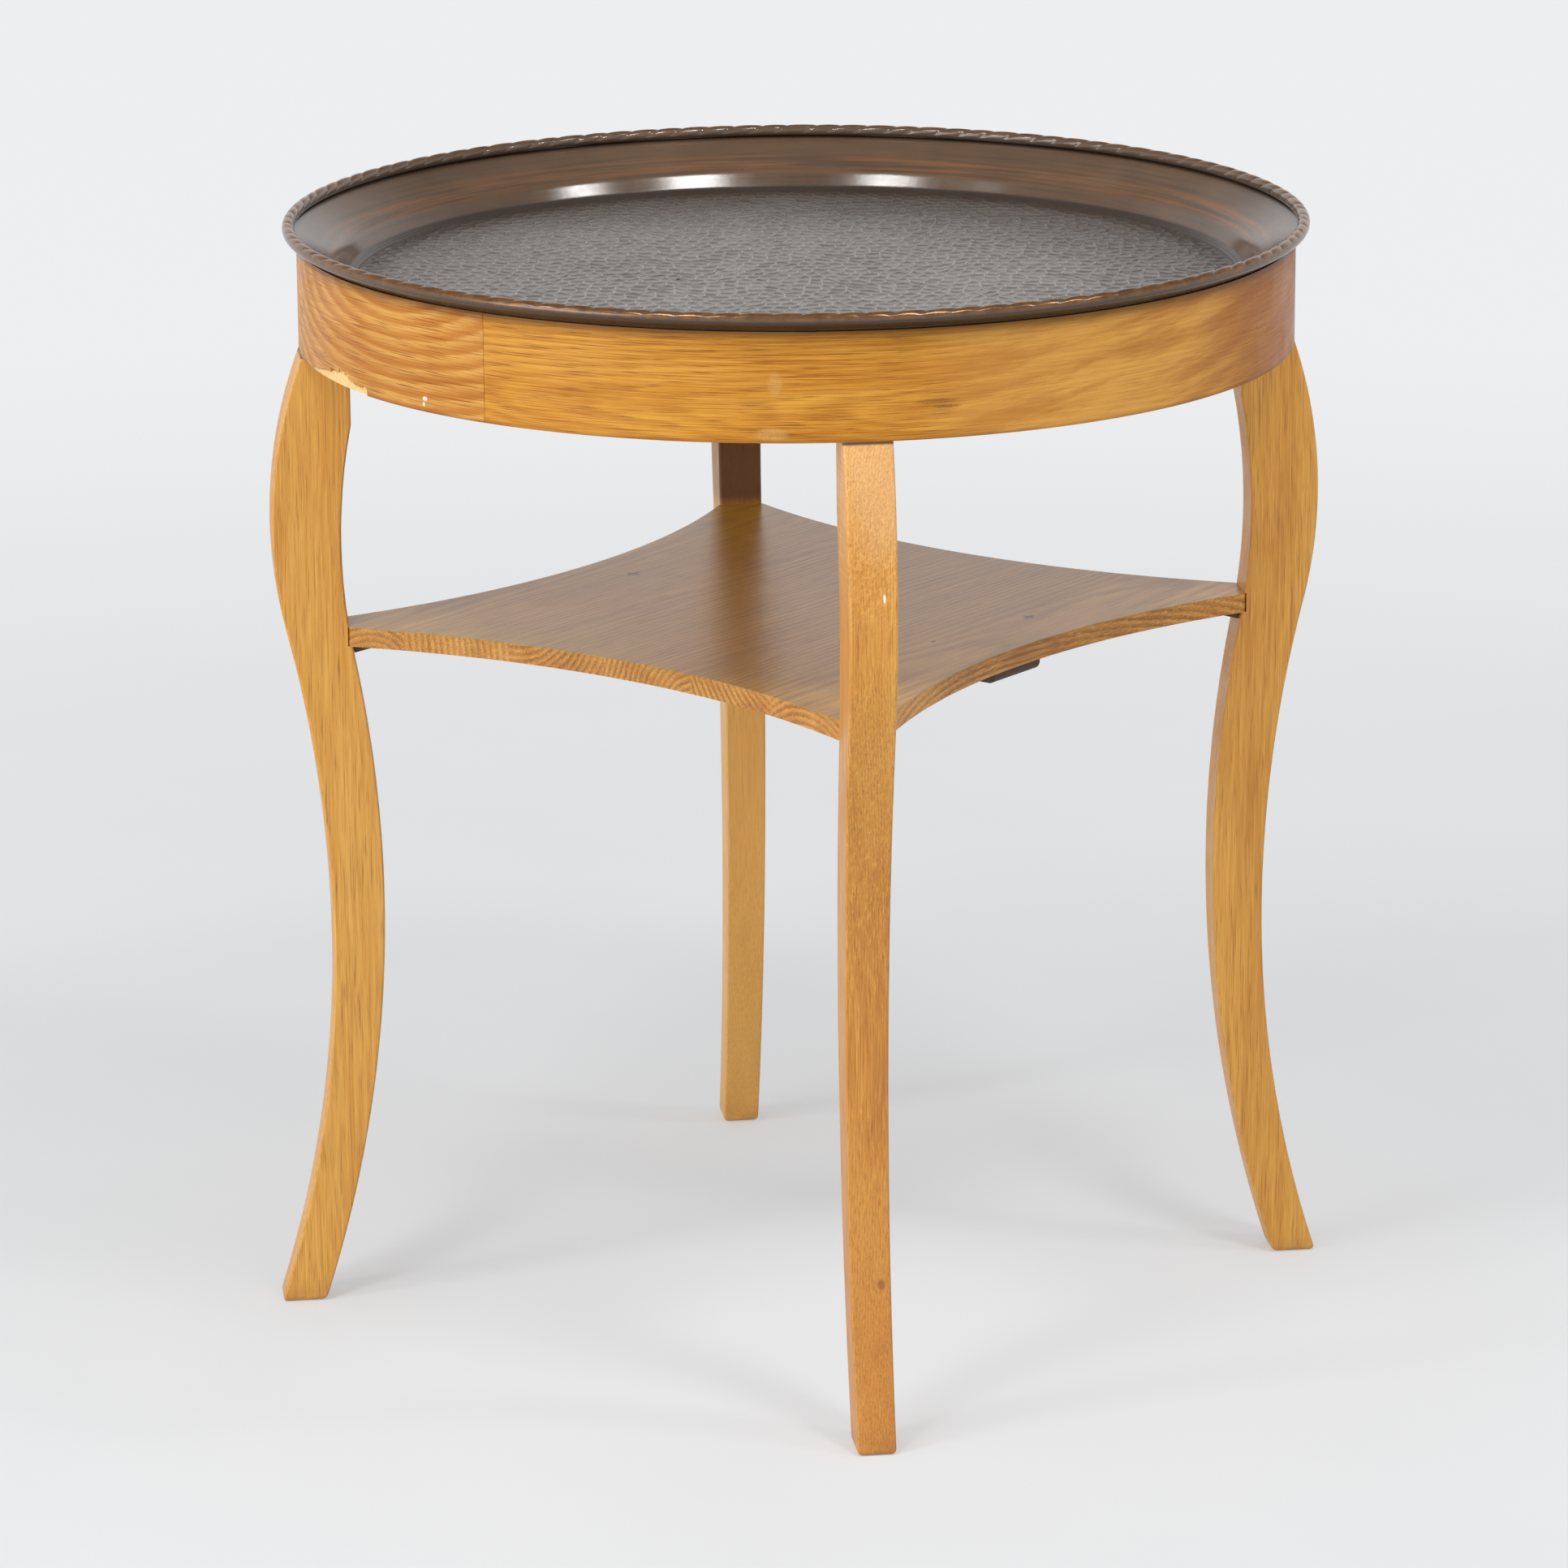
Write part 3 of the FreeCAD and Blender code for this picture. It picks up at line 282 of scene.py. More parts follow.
def mark(mesh, name, values):
    """Store one number for each point, for a finish to read."""
    numbers = values.astype(np.float32).ravel()
    mesh.attributes.new(name, "FLOAT", "POINT").data.foreach_set("value", numbers)


print("faces of a closed 8 by 6 grid:", len(grid_faces(8, 6, True, True)))

# %% [markdown]
# The copper was darkened and lacquered when it was made. Seen from above it is nearly black-brown, but
# the lacquer mirrors the pale room wherever the eye meets it at a flat angle, which is why the floor
# and the ends of the wall look grey. So the finish is a dark ground under a clear glossy skin, and not
# bare metal. The meshes tell it what lies where: the floor has ridges between hammer marks and a tone
# for each mark, the rim has rubbed places. A mesh without one of these simply reads zero.

# %% Patinated copper
FLOOR_LEVEL = 0.6210
STREAK_RADIUS, STREAKS_ROUND, STREAKS_UP = 0.28, 9.0, 420.0

copper = Finish("patinated_copper", IOR=1.58)
spot = copper.place()
across_x, across_y, height = copper.split(spot)
ridge, rubbed, cell_tone = [copper.add("Attribute", attribute_name=name).outputs["Fac"]
                            for name in ("ridge", "rubbed", "cell_tone")]
from_middle = copper.length(across_x, across_y)
cloud = copper.noise(spot, 9.0, 4.0, 0.6)
fine_cloud = copper.noise(spot, 160.0, 3.0, 0.6)
round_it = copper.times(copper.math("ARCTAN2", across_x, across_y), STREAK_RADIUS)
unrolled_wall = copper.join(copper.times(round_it, STREAKS_ROUND), copper.times(height, STREAKS_UP), 0.0)
streak = copper.noise(unrolled_wall, 1.0, 5.0, 0.6)
print("copper nodes so far:", len(copper.nodes))

# %% [markdown]
# On the floor the lacquer differs from blow to blow, and the ridges carry a painted glint. Painted shade
# makes the floor browner along the edge, where the dark wall is mirrored, and towards the back and the
# right, outside a painted lit patch. One picture can't tell whether lacquer or light does that, so it is
# painted here as a guess, and so are the two dark spots, which may be burns.

# %% Tray floor colour
FLOOR_GROUND = ((0.3, paint(95, 89, 85)), (0.7, paint(116, 110, 105)))
DULL_CELL, RIDGE_GLINT, PAINTED_SHADE_BROWN = paint(48, 45, 43), paint(190, 181, 170), paint(48, 37, 30)
FLOOR_LIT_MIDDLE, FLOOR_LIT_REACH = (-0.05, -0.10), (0.30, 0.36)
SPOTS, SPOT_REACH, SPOT_DARK = ((-0.0988, 0.0025), (-0.0697, -0.0146)), (0.0050, 0.0040), paint(22, 19, 18)

# Painted light: inside this patch the floor keeps its paler ground.
floor_lit_part = copper.oval(across_x, across_y, FLOOR_LIT_MIDDLE, FLOOR_LIT_REACH)
floor_colour = copper.coats(
    copper.ramp(cloud, *FLOOR_GROUND),
    (copper.times(cell_tone, 0.30), DULL_CELL),
    # Painted glint on the ridges between the dishes.
    (copper.times(ridge, 0.45), RIDGE_GLINT),
    # Painted shade: browner along the edge, where the dark wall is mirrored, and outside the lit patch.
    (copper.span(from_middle, 0.232, 0.258, 0.0, 0.8), PAINTED_SHADE_BROWN),
    (copper.span(floor_lit_part, 0.0, 1.0, 0.50, 0.0), PAINTED_SHADE_BROWN),
    *[(copper.oval(across_x, across_y, middle, SPOT_REACH), SPOT_DARK) for middle in SPOTS])
print("dark spots on the floor:", len(SPOTS))

# %% [markdown]
# On the far wall the skin is worn through in level streaks and copper shows. Along the top of the curl
# hands have rubbed the metal bright, while its underside and the wall just below are painted nearly
# black, as dark patina and as shade. The lacquer is glossier on the smooth wall than on the beaten floor.

# %% Wall and rim colour
WALL_GROUND = ((0.3, paint(84, 65, 50)), (0.7, paint(106, 83, 64)))
RIM_GROUND = ((0.3, paint(92, 62, 36)), (0.7, paint(128, 88, 50)))
DARK_STREAK, BARE_COPPER, UNDER_ROLL_PATINA_AND_SHADE = paint(48, 40, 35), paint(138, 90, 52), paint(34, 25, 20)
WORN_FROM = (FLOOR_LEVEL + 0.007, FLOOR_LEVEL + 0.012)
WORN_UP_TO = (FLOOR_LEVEL + 0.014, FLOOR_LEVEL + 0.021)
ROLL_FROM_MIDDLE, ROLL_HALF_WAY = (0.292, 0.295), (0.6500, 0.6520)

worn_zone = copper.times(copper.span(height, *WORN_FROM), copper.span(height, *WORN_UP_TO, 1.0, 0.0))
worn = copper.times(copper.span(streak, 0.42, 0.72, 0.0, 0.8), worn_zone)
# Dark patina and painted shade under the overhang of the curl.
patina_and_shade_below_roll = copper.times(copper.span(from_middle, *ROLL_FROM_MIDDLE),
                          copper.span(height, *ROLL_HALF_WAY, 0.85, 0.0))
wall_colour = copper.coats(
    copper.ramp(cloud, *WALL_GROUND),
    (copper.span(streak, 0.30, 0.55, 0.30, 0.0), DARK_STREAK),
    (worn, BARE_COPPER),
    (patina_and_shade_below_roll, UNDER_ROLL_PATINA_AND_SHADE))
rim_colour = copper.ramp(fine_cloud, *RIM_GROUND)
on_wall = copper.span(height, FLOOR_LEVEL + 0.0008, FLOOR_LEVEL + 0.003)
skin = copper.plus(copper.span(on_wall, 0.0, 1.0, 0.26, 0.15),
                   copper.span(fine_cloud, 0.3, 0.7, 0.0, 0.03))
copper.set(Base_Color=copper.coats(floor_colour, (on_wall, wall_colour), (rubbed, rim_colour)),
           Metallic=copper.times(rubbed, 0.35),
           Roughness=copper.plus(skin, copper.times(rubbed, 0.05)))
copper.relief(fine_cloud, 0.00002)
print("copper nodes:", len(copper.nodes))

# %% [markdown]
# The tray floor was beaten all over with a round-faced hammer. Each blow leaves a shallow dish about
# 9 mm wide, and thin ridges stay where dishes meet. The dishes crowd each other like the cells of a
# honeycomb, so the floor starts as a honeycomb, a little stretched, whose corners are each moved by a
# fixed random amount. Cells share their corners, so neighbours still fit when the corners move. A slow
# sway of the whole pattern then takes the straightness out of its rows.

# %% Honeycomb of blows
FLOOR_RADIUS, SPARE_RING = 0.2570, 0.010
CELL_WIDTH = 0.0086
CELL_STRETCH = 1.35
CORNER_SHIFT = 0.0021
SWAYS_ALONG_X, SWAYS_ALONG_Y = ((0.0040, 0.110, 1.3), (0.0020, 0.047, 0.0)), ((0.0030, 0.090, 0.4),)
draw = np.random.default_rng(7)


def smooth_step(value, low, high):
    """3 t^2 - 2 t^3, where t runs from 0 at low to 1 at high and is held beyond."""
    t = np.clip((value - low) / (high - low), 0.0, 1.0)
    return t * t * (3.0 - 2.0 * t)


def honeycomb(radius):
    """Corners of the cells that touch a disc: cell (i, j) has its middle at width times (i + j / 2)
    across and 0.866 widths times j along, and six corners 0.577 widths from it, then stretched."""
    count = int(radius / CELL_WIDTH) + 2
    j = np.arange(-count, count + 1)[:, None]
    i = np.arange(-count, count + 1)[None, :]
    across, along = (i + 0.5 * (j % 2)) * CELL_WIDTH, (i * 0 + j) * CELL_WIDTH * np.sqrt(0.75)
    angle = np.radians(30.0 + 60.0 * np.arange(6))
    spokes = np.stack([np.cos(angle), np.sin(angle)], axis=-1) * CELL_WIDTH / np.sqrt(3.0)
    cells = (np.stack([across, along], axis=-1).reshape(-1, 1, 2) + spokes) * [1.0, CELL_STRETCH]
    return cells[np.hypot(cells[..., 0], cells[..., 1]).min(axis=1) < radius]


def sway(value, waves):
    """Sum of size times sin(2 pi value / wavelength + phase) over some waves."""
    return sum(size * np.sin(2.0 * np.pi * value / wavelength + phase)
               for size, wavelength, phase in waves)


corners = honeycomb(FLOOR_RADIUS + SPARE_RING)
corner_keys = np.round(corners / CELL_WIDTH * 1000).astype(int).reshape(-1, 2)
shared, which = np.unique(corner_keys, axis=0, return_inverse=True)
shifts = CORNER_SHIFT * (2.0 * draw.random((len(shared), 2)) - 1.0)
corners = corners + shifts[which.ravel()].reshape(corners.shape)
swayed_by = [sway(corners[..., 1], SWAYS_ALONG_Y), sway(corners[..., 0], SWAYS_ALONG_X)]
corners = corners + np.stack(swayed_by, axis=-1)
print("blows:", len(corners))

# %% [markdown]
# Each cell becomes three rings of twelve points and a middle. The outer ring lies on the ridge, the
# second just inside it, so that the ridge is a thin worn line, and the third half way down the dish.
# Points outside the floor's edge are pressed back onto it. Each blow has its own force and its own
# tone, because the hand and the lacquer are uneven.

# %% Dished cells
RING = 12
CELL_POINTS = 3 * RING + 1
RIDGE_WIDTH = 0.0006
DISH_DEPTH, LEAST_FORCE = 0.0009, 0.6
RING_FALLS = np.array([0.0, 0.35, 0.85, 1.0])
FLAT_EDGE = (FLOOR_RADIUS - 0.004, FLOOR_RADIUS - 0.0005)

edge_middles = 0.5 * (corners + np.roll(corners, -1, axis=1))
ridge_ring = np.stack([corners, edge_middles], axis=2).reshape(-1, RING, 2)
middles = corners.mean(axis=1, keepdims=True)
spokes = ridge_ring - middles
inner_ring = ridge_ring - spokes * RIDGE_WIDTH / np.linalg.norm(spokes, axis=-1, keepdims=True)
plan = np.concatenate([ridge_ring, inner_ring, middles + 0.5 * spokes, middles], axis=1)
ring_of = np.repeat(np.arange(4), (RING, RING, RING, 1))
far = np.linalg.norm(plan, axis=-1)
plan = plan * np.minimum(1.0, FLOOR_RADIUS / np.maximum(far, 0.000001))[..., None]
inside = 1.0 - smooth_step(far, *FLAT_EDGE)
force = LEAST_FORCE + (1.0 - LEAST_FORCE) * draw.random((len(corners), 1))
drop = DISH_DEPTH * RING_FALLS[ring_of] * force * inside
cell_points = np.concatenate([plan, (FLOOR_LEVEL - drop)[..., None]], axis=-1).reshape(-1, 3)
cell_ridge = ((ring_of == 0) * inside).ravel()
cell_tones = np.broadcast_to(draw.random((len(corners), 1)), far.shape).ravel()
print("points of the cells:", len(cell_points), "deepest dish:", round(float(drop.max()), 5))

# %% [markdown]
# Points of neighbours that fall on each other are made one. Edges that only one face uses are the
# border, and a skirt and an underside hang from them, so that the floor is a closed sheet.

# %% Tray floor
SHEET = 0.0012
WELD_STEPS = 1e7

spoke = np.arange(RING)
next_spoke = np.roll(spoke, -1)
ring_quads = np.stack([spoke, next_spoke, next_spoke + RING, spoke + RING], axis=-1)
fan = np.stack([spoke + 2 * RING, next_spoke + 2 * RING, np.full(RING, 3 * RING)], axis=-1)
first_point = CELL_POINTS * np.arange(len(corners))[:, None, None]
quads = (np.concatenate([ring_quads, ring_quads + RING]) + first_point).reshape(-1, 4)
fans = (fan + first_point).reshape(-1, 3)
point_keys = np.round(cell_points * WELD_STEPS).astype(int)
_, kept, welded = np.unique(point_keys, axis=0, return_index=True, return_inverse=True)
welded = welded.ravel()
top = cell_points[kept]
on_edge = np.hypot(top[:, 0], top[:, 1]) > FLOOR_RADIUS - 1e-6
triangles = np.concatenate([welded[quads][:, [0, 1, 2]], welded[quads][:, [0, 2, 3]], welded[fans]])
proper = (triangles != np.roll(triangles, 1, axis=1)).all(axis=1) & ~on_edge[triangles].all(axis=1)
triangles = triangles[proper]

edges = np.concatenate([triangles[:, [0, 1]], triangles[:, [1, 2]], triangles[:, [2, 0]]])
_, place_of, uses = np.unique(np.sort(edges, axis=1), axis=0, return_index=True, return_counts=True)
border = edges[place_of[uses == 1]]
rim_points, low = np.unique(border, return_inverse=True)
low = low.reshape(-1, 2) + len(top)
under = top[rim_points] * [1.0, 1.0, 0.0] + [0.0, 0.0, FLOOR_LEVEL - SHEET]
centre = np.full(len(border), len(top) + len(under))
skirt = np.stack([border[:, 1], border[:, 0], low[:, 0], low[:, 1]], axis=-1)
underside = np.stack([low[:, 1], low[:, 0], centre], axis=-1)
floor_points = np.concatenate([top, under, [[0.0, 0.0, FLOOR_LEVEL - SHEET]]])
floor_mesh = make_mesh("tray_floor", floor_points, [triangles, skirt, underside], 60.0)
unmarked = np.zeros(len(under) + 1)
mark(floor_mesh, "ridge", np.concatenate([cell_ridge[kept], unmarked]))
mark(floor_mesh, "cell_tone", np.concatenate([cell_tones[kept], unmarked]))
make_piece(floor_mesh, copper, "tray", "patinated_copper", "tray_pan")
print("border points:", len(rim_points), "border edges:", len(border))

# %% [markdown]
# Round the floor runs a pressed groove, then the sheet turns up into a short steep wall, flares to a
# long flatter lip and is curled inwards over a wire. A dark crease stays where the curled edge comes
# down on the lip. The section is drawn once as a path of lines and arcs that leave each other without
# a kink: each slope has one direction along the metal and one towards its underside.

# %% Tray wall profile
RIM_RADIUS, RIM_HEIGHT, ROLL = 0.2964, 0.6518, 0.0036
BORE = ROLL - SHEET
WALL_SLOPE, LIP_SLOPE = np.radians(60.0), np.radians(31.0)
FLOOR_EDGE, COVE, FLARE = 0.2600, 0.004, 0.015
GROOVE_WIDTH, GROOVE_DEPTH, GROOVE_STEPS = FLOOR_EDGE - FLOOR_RADIUS, 0.0007, 8
QUARTER = np.pi / 2


def slope(angle):
    """Unit steps up a slope, (cos, sin), and down through its sheet, (sin, -cos)."""
    return np.array([np.cos(angle), np.sin(angle)]), np.array([np.sin(angle), -np.cos(angle)])


def arc(centre, radius, start, stop, count):
    """Points of a circle: centre plus radius times (cos, sin) of evenly spaced angles."""
    angle = np.linspace(start, stop, count)[:, None]
    return centre + radius * np.hstack([np.cos(angle), np.sin(angle)])


def line(start, stop, count):
    """Points between two ends, without the ends themselves."""
    return start + (stop - start) * np.linspace(0.0, 1.0, count + 2)[1:-1, None]


up_wall, out_wall = slope(WALL_SLOPE)
up_lip, out_lip = slope(LIP_SLOPE)
rim_centre = np.array([RIM_RADIUS, RIM_HEIGHT])
cove_centre = np.array([FLOOR_EDGE, FLOOR_LEVEL + COVE])
wall_foot = cove_centre + COVE * out_wall
lip_end = rim_centre + BORE * out_lip
reach_x, reach_y = lip_end - wall_foot
run = (reach_y - reach_x * np.tan(LIP_SLOPE)) / (up_wall[1] - up_wall[0] * np.tan(LIP_SLOPE))
setback = FLARE * np.tan((WALL_SLOPE - LIP_SLOPE) / 2)
wall_head = wall_foot + up_wall * (run - setback)
lip_foot = wall_foot + up_wall * run + up_lip * setback
flare_centre = wall_head + FLARE * out_wall
groove_share = np.linspace(0.0, 1.0, GROOVE_STEPS + 1)[:-1, None]
groove_dip = 0.5 * GROOVE_DEPTH * (1.0 - np.cos(2.0 * np.pi * groove_share))
groove = np.hstack([FLOOR_RADIUS + GROOVE_WIDTH * groove_share, FLOOR_LEVEL - groove_dip])
wall_profile = np.concatenate([
    groove,
    arc(cove_centre, COVE, -QUARTER, WALL_SLOPE - QUARTER, 12),
    line(wall_foot, wall_head, 6),
    arc(flare_centre, FLARE, WALL_SLOPE + QUARTER, LIP_SLOPE + QUARTER, 10),
    line(lip_foot, lip_end, 4),
    [lip_end, lip_end + SHEET * out_lip],
    line(lip_end + SHEET * out_lip, lip_foot + SHEET * out_lip, 3),
    arc(flare_centre, FLARE - SHEET, LIP_SLOPE + QUARTER, WALL_SLOPE + QUARTER, 6),
    line(wall_head + SHEET * out_wall, wall_foot + SHEET * out_wall, 3),
    arc(cove_centre, COVE + SHEET, WALL_SLOPE - QUARTER, -QUARTER, 7),
    [[FLOOR_RADIUS, FLOOR_LEVEL - SHEET]],
])
print("profile points:", len(wall_profile))

# %% [markdown]
# A section carried round the axis gives the wall. Rows of the grid are steps of the bearing, columns
# are points of the section, and both run round, so the ring closes without a seam.

# %% Tray wall
WALL_STEPS = 480


def carried_round(section, bearing):
    """Points (r cos b, r sin b, z) for a section of (r, z), which may differ at each bearing b."""
    radius, height = section[..., 0], section[..., 1]
    return np.stack([radius * np.cos(bearing)[:, None], radius * np.sin(bearing)[:, None],
                     np.broadcast_to(height, (len(bearing), height.shape[-1]))], axis=-1).reshape(-1, 3)


def whole_turn(steps):
    """Bearings of so many even steps round the axis."""
    return np.arange(steps) * 2.0 * np.pi / steps


wall_points = carried_round(wall_profile[None], whole_turn(WALL_STEPS))
wall_mesh = make_mesh("tray_wall", wall_points, [grid_faces(WALL_STEPS, len(wall_profile), True, True)])
make_piece(wall_mesh, copper, "tray", "patinated_copper")

# %% [markdown]
# A slanting punch has notched the curl all round, so it looks like rope. The distance to the next
# notch, counted in notches, depends on the angle round the tray and, because of the slant, on the
# angle round the curl as well. The dent is deepest over the top of the curl and dies out on both
# sides of it. Each mark was struck by hand, so its force and its place differ a little. Angles round
# the curl are in radians, counted upwards from its outermost point.

# %% Notched curl
NOTCHES, STEPS_A_NOTCH = 112, 14
NOTCH_SLANT, NOTCH_DEPTH = -0.25, 0.00085
NOTCH_SHARE, NOTCH_SCATTER = 0.18, 0.22
NOTCHED_ANGLES, RUBBED_ANGLES = (0.2, 1.2, 3.0, 3.6), (-0.5, 0.3, 1.9, 2.5)
BORE_POINTS, ROLL_POINTS = 14, 36
CURL_START, CURL_STOP = LIP_SLOPE - QUARTER, np.radians(235.0)


def band(value, start, full, fade, stop):
    """1 between full and fade, falling smoothly to 0 at start and at stop."""
    return smooth_step(value, start, full) * (1.0 - smooth_step(value, fade, stop))


curl_profile = np.concatenate([arc(rim_centre, BORE, CURL_START, CURL_STOP, BORE_POINTS),
                               arc(rim_centre, ROLL, CURL_STOP, CURL_START, ROLL_POINTS)])
curl_angle = np.concatenate([np.linspace(CURL_START, CURL_STOP, BORE_POINTS),
                             np.linspace(CURL_STOP, CURL_START, ROLL_POINTS)])
outside = np.arange(len(curl_angle)) >= BORE_POINTS
curl_bearing = whole_turn(NOTCHES * STEPS_A_NOTCH)
counted = curl_bearing[:, None] * NOTCHES / (2.0 * np.pi) + curl_angle * NOTCH_SLANT
notch_number = np.floor(counted).astype(int) % NOTCHES
notch_place = 0.5 + (draw.random(NOTCHES) - 0.5)[notch_number] * NOTCH_SCATTER
notch_force = (LEAST_FORCE + (1.0 - LEAST_FORCE) * draw.random(NOTCHES))[notch_number]
from_notch = np.abs(counted % 1.0 - notch_place)
nick = 1.0 - smooth_step(from_notch, 0.0, NOTCH_SHARE)
hollow = 1.0 - smooth_step(from_notch, 0.0, 0.5)
dent = (0.6 * nick + 0.4 * hollow) * notch_force
reach = band(curl_angle, *NOTCHED_ANGLES) * outside
inward = (rim_centre - curl_profile) / np.where(outside, ROLL, BORE)[:, None]
curl_section = curl_profile + inward * (NOTCH_DEPTH * dent * reach)[..., None]
curl_faces = grid_faces(len(curl_bearing), len(curl_profile), True, True)
curl_mesh = make_mesh("tray_curl", carried_round(curl_section, curl_bearing), [curl_faces], 50.0)
mark(curl_mesh, "rubbed", band(curl_angle, *RUBBED_ANGLES) * outside * (1.0 - 0.6 * nick))
make_piece(curl_mesh, copper, "tray", "patinated_copper")

# %% [markdown]
# Oak is drawn by its growth rings. A board is a flat cut through a log, so the rings are long arches
# on its face, lines on its edge and curved bands on its end. If a finish knows how far each point is
# from the heart of the log, all three appear by themselves. Into the soft early wood of each ring go
# the pores, short dark dashes along the grain. Every noise here is stretched along the fibres: its
# two first numbers are grains to a metre along and across them, then come detail and roughness.

# %% Oak
OAK_PORE = paint(132, 78, 28)
WAVE_NOISE, FRAY_NOISE = (6.0, 14.0, 3.0, 0.5), (9.0, 420.0, 3.0, 0.7)
TONE_NOISE, FIGURE_NOISE = (5.0, 45.0, 4.0, 0.6), (16.0, 40.0, 2.0, 0.5)
FIBRE_NOISE, PORE_NOISE = (14.0, 1300.0, 4.0, 0.7), (40.0, 1700.0, 2.0, 0.5)
WAVE_HEIGHT, PORE_DEPTH = 0.010, 0.00010


def oak(finish, along, first, second, heart, tilt, tones, pore, figure, ring, ragged=1.6, line=None):
    """Colour and relief of oak. along runs with the grain, first and second across it, all in metres.
    The heart of the log passes at heart, leaning away by tilt for each metre of grain; rings are that
    distance divided by the ring width, bent by slow noise and frayed by ragged widths. tones are dark,
    middle and pale; pore and figure say how strongly the pores and the rings show. Rings are drawn in
    the dark tone unless another colour is given for their line."""
    times, plus, span = finish.times, finish.plus, finish.span

    def stretched(with_grain, across_grain, detail, roughness):
        """Noise whose grains are so many to a metre along and across the fibres."""
        place = finish.join(times(along, with_grain),
                            times(first, across_grain), times(second, across_grain))
        return finish.noise(place, 1.0, detail, roughness)

    dark, middle, pale = tones
    wavy = times(plus(stretched(*WAVE_NOISE), -0.5), WAVE_HEIGHT)
    beside = plus(plus(first, -heart[0]), wavy)
    depth = plus(plus(plus(second, -heart[1]), times(along, tilt)), wavy)
    rings = times(finish.length(beside, depth), 1.0 / ring)
    in_ring = finish.math("FRACT", plus(rings, times(stretched(*FRAY_NOISE), ragged)))
    ring_line = times(span(in_ring, 0.0, 0.25), span(in_ring, 0.3, 0.9, 1.0, 0.0))
    shown = span(stretched(*FIGURE_NOISE), 0.35, 0.60, 0.6 * figure, figure)
    fibre = stretched(*FIBRE_NOISE)
    pores = times(span(stretched(*PORE_NOISE), 0.55, 0.70), span(ring_line, 0.0, 0.6, 0.4, 1.0))
    finish.relief(finish.minus(times(fibre, 0.4), times(pores, 0.6)), PORE_DEPTH)
    return finish.coats(
        finish.ramp(stretched(*TONE_NOISE), (0.28, dark), (0.46, middle), (0.72, pale)),
        (0.45, middle),
        (times(ring_line, shown), line or dark),
        (span(fibre, 0.52, 0.66, 0.0, 0.6), pale),
        (span(fibre, 0.34, 0.48, pore, 0.0), dark),
        (times(pores, pore), OAK_PORE))


def slot_in(finish, *names):
    """Give a finish to solids."""
    for name in names:
        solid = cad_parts[name]
        solid.data.materials.clear()
        solid.data.materials.append(finish.material)
    print(finish.material.name, "on", ", ".join(names))


print("fibres to a metre across the grain:", FIBRE_NOISE[1])

# %% [markdown]
# The legs are sawn from planks, so their grain runs straight up while the edges curve through it.
# Each leg comes from another part of the log. Sides and front differ because the rings lie
# differently to them. The wood is darker near the floor, and a dark line of dirt and painted shade lies
# where the hoop sits on the shoulders. The top of the front leg is paler and flecked, as rays of oak are.
# The back leg is painted paler below the shelf as light, and darker above it on its inner side as
# shade, which the softer studio light doesn't cast there. The studio light is softer than that, so the
# finish is darker there as well, which is a guess.

# %% Leg finish
LEG_TONES = (paint(182, 116, 38), paint(216, 154, 60), paint(236, 182, 90))
FRONT_LEG_TONES = (paint(168, 98, 32), paint(214, 147, 56), paint(238, 180, 86))
LEG_HEARTS = {"leg_front": ((0.090, -0.330), 0.006), "leg_right": ((0.330, 0.160), 0.010),
              "leg_back": ((-0.120, 0.340), 0.008), "leg_left": ((-0.330, -0.180), 0.010)}
LEG_PORE, LEG_FIGURE, LEG_RING = 0.55, 0.28, 0.0016
HOOP_BOTTOM = 0.5820
DIRT_AND_SHADE_FROM = (HOOP_BOTTOM - 0.0022, HOOP_BOTTOM - 0.0008)
DIRT_AND_SHADE, FOOT_STAIN = paint(44, 25, 11), paint(130, 82, 40)


def front_leg_coats(finish, x, y, z):
    """Browner towards the floor, paler and flecked at the top, with a pale nick and a knot."""
    slant, thin = finish.times(finish.plus(x, z), 330.0), finish.times(finish.minus(z, x), 700.0)
    ray = finish.noise(finish.join(slant, finish.times(y, 40.0), thin), 1.0, 2.0)
    flecked = finish.oval(x, z, (0.0, 0.550), (0.060, 0.090))
    paler = finish.oval(x, z, (0.004, 0.585), (0.024, 0.080))
    nick = finish.oval(x, z, (0.006, 0.498), (0.0009, 0.0032))
    knot = finish.oval(x, z, (0.006, 0.094), (0.0028, 0.0036))
    return [(finish.span(z, 0.02, 0.32, 0.38, 0.0), paint(168, 98, 42)),
            (finish.times(paler, 0.32), paint(238, 196, 150)),
            (finish.times(finish.span(ray, 0.50, 0.60, 0.0, 0.16), flecked), paint(246, 208, 150)),
            (finish.times(finish.span(ray, 0.40, 0.48, 0.14, 0.0), flecked), paint(172, 108, 48)),
            (nick, paint(250, 240, 222)),
            (finish.times(knot, 0.6), paint(120, 72, 30))]


def back_leg_coats(finish, x, y, z):
    """Painted light below the shelf, and painted shade above it on the side that faces the table's middle.
    """
    outward = finish.split(finish.add("TexCoord").outputs["Normal"])[1]
    painted_shade = finish.times(finish.span(z, 0.412, 0.425), finish.span(outward, -0.6, 0.7, 0.88, 0.0))
    # Painted light below the shelf, painted shade above it on the inner side.
    return [(finish.span(z, 0.39, 0.418, 0.45, 0.0), paint(246, 190, 104)),
            (painted_shade, paint(74, 32, 2))]


OWN_COATS = {"leg_front": front_leg_coats, "leg_back": back_leg_coats}


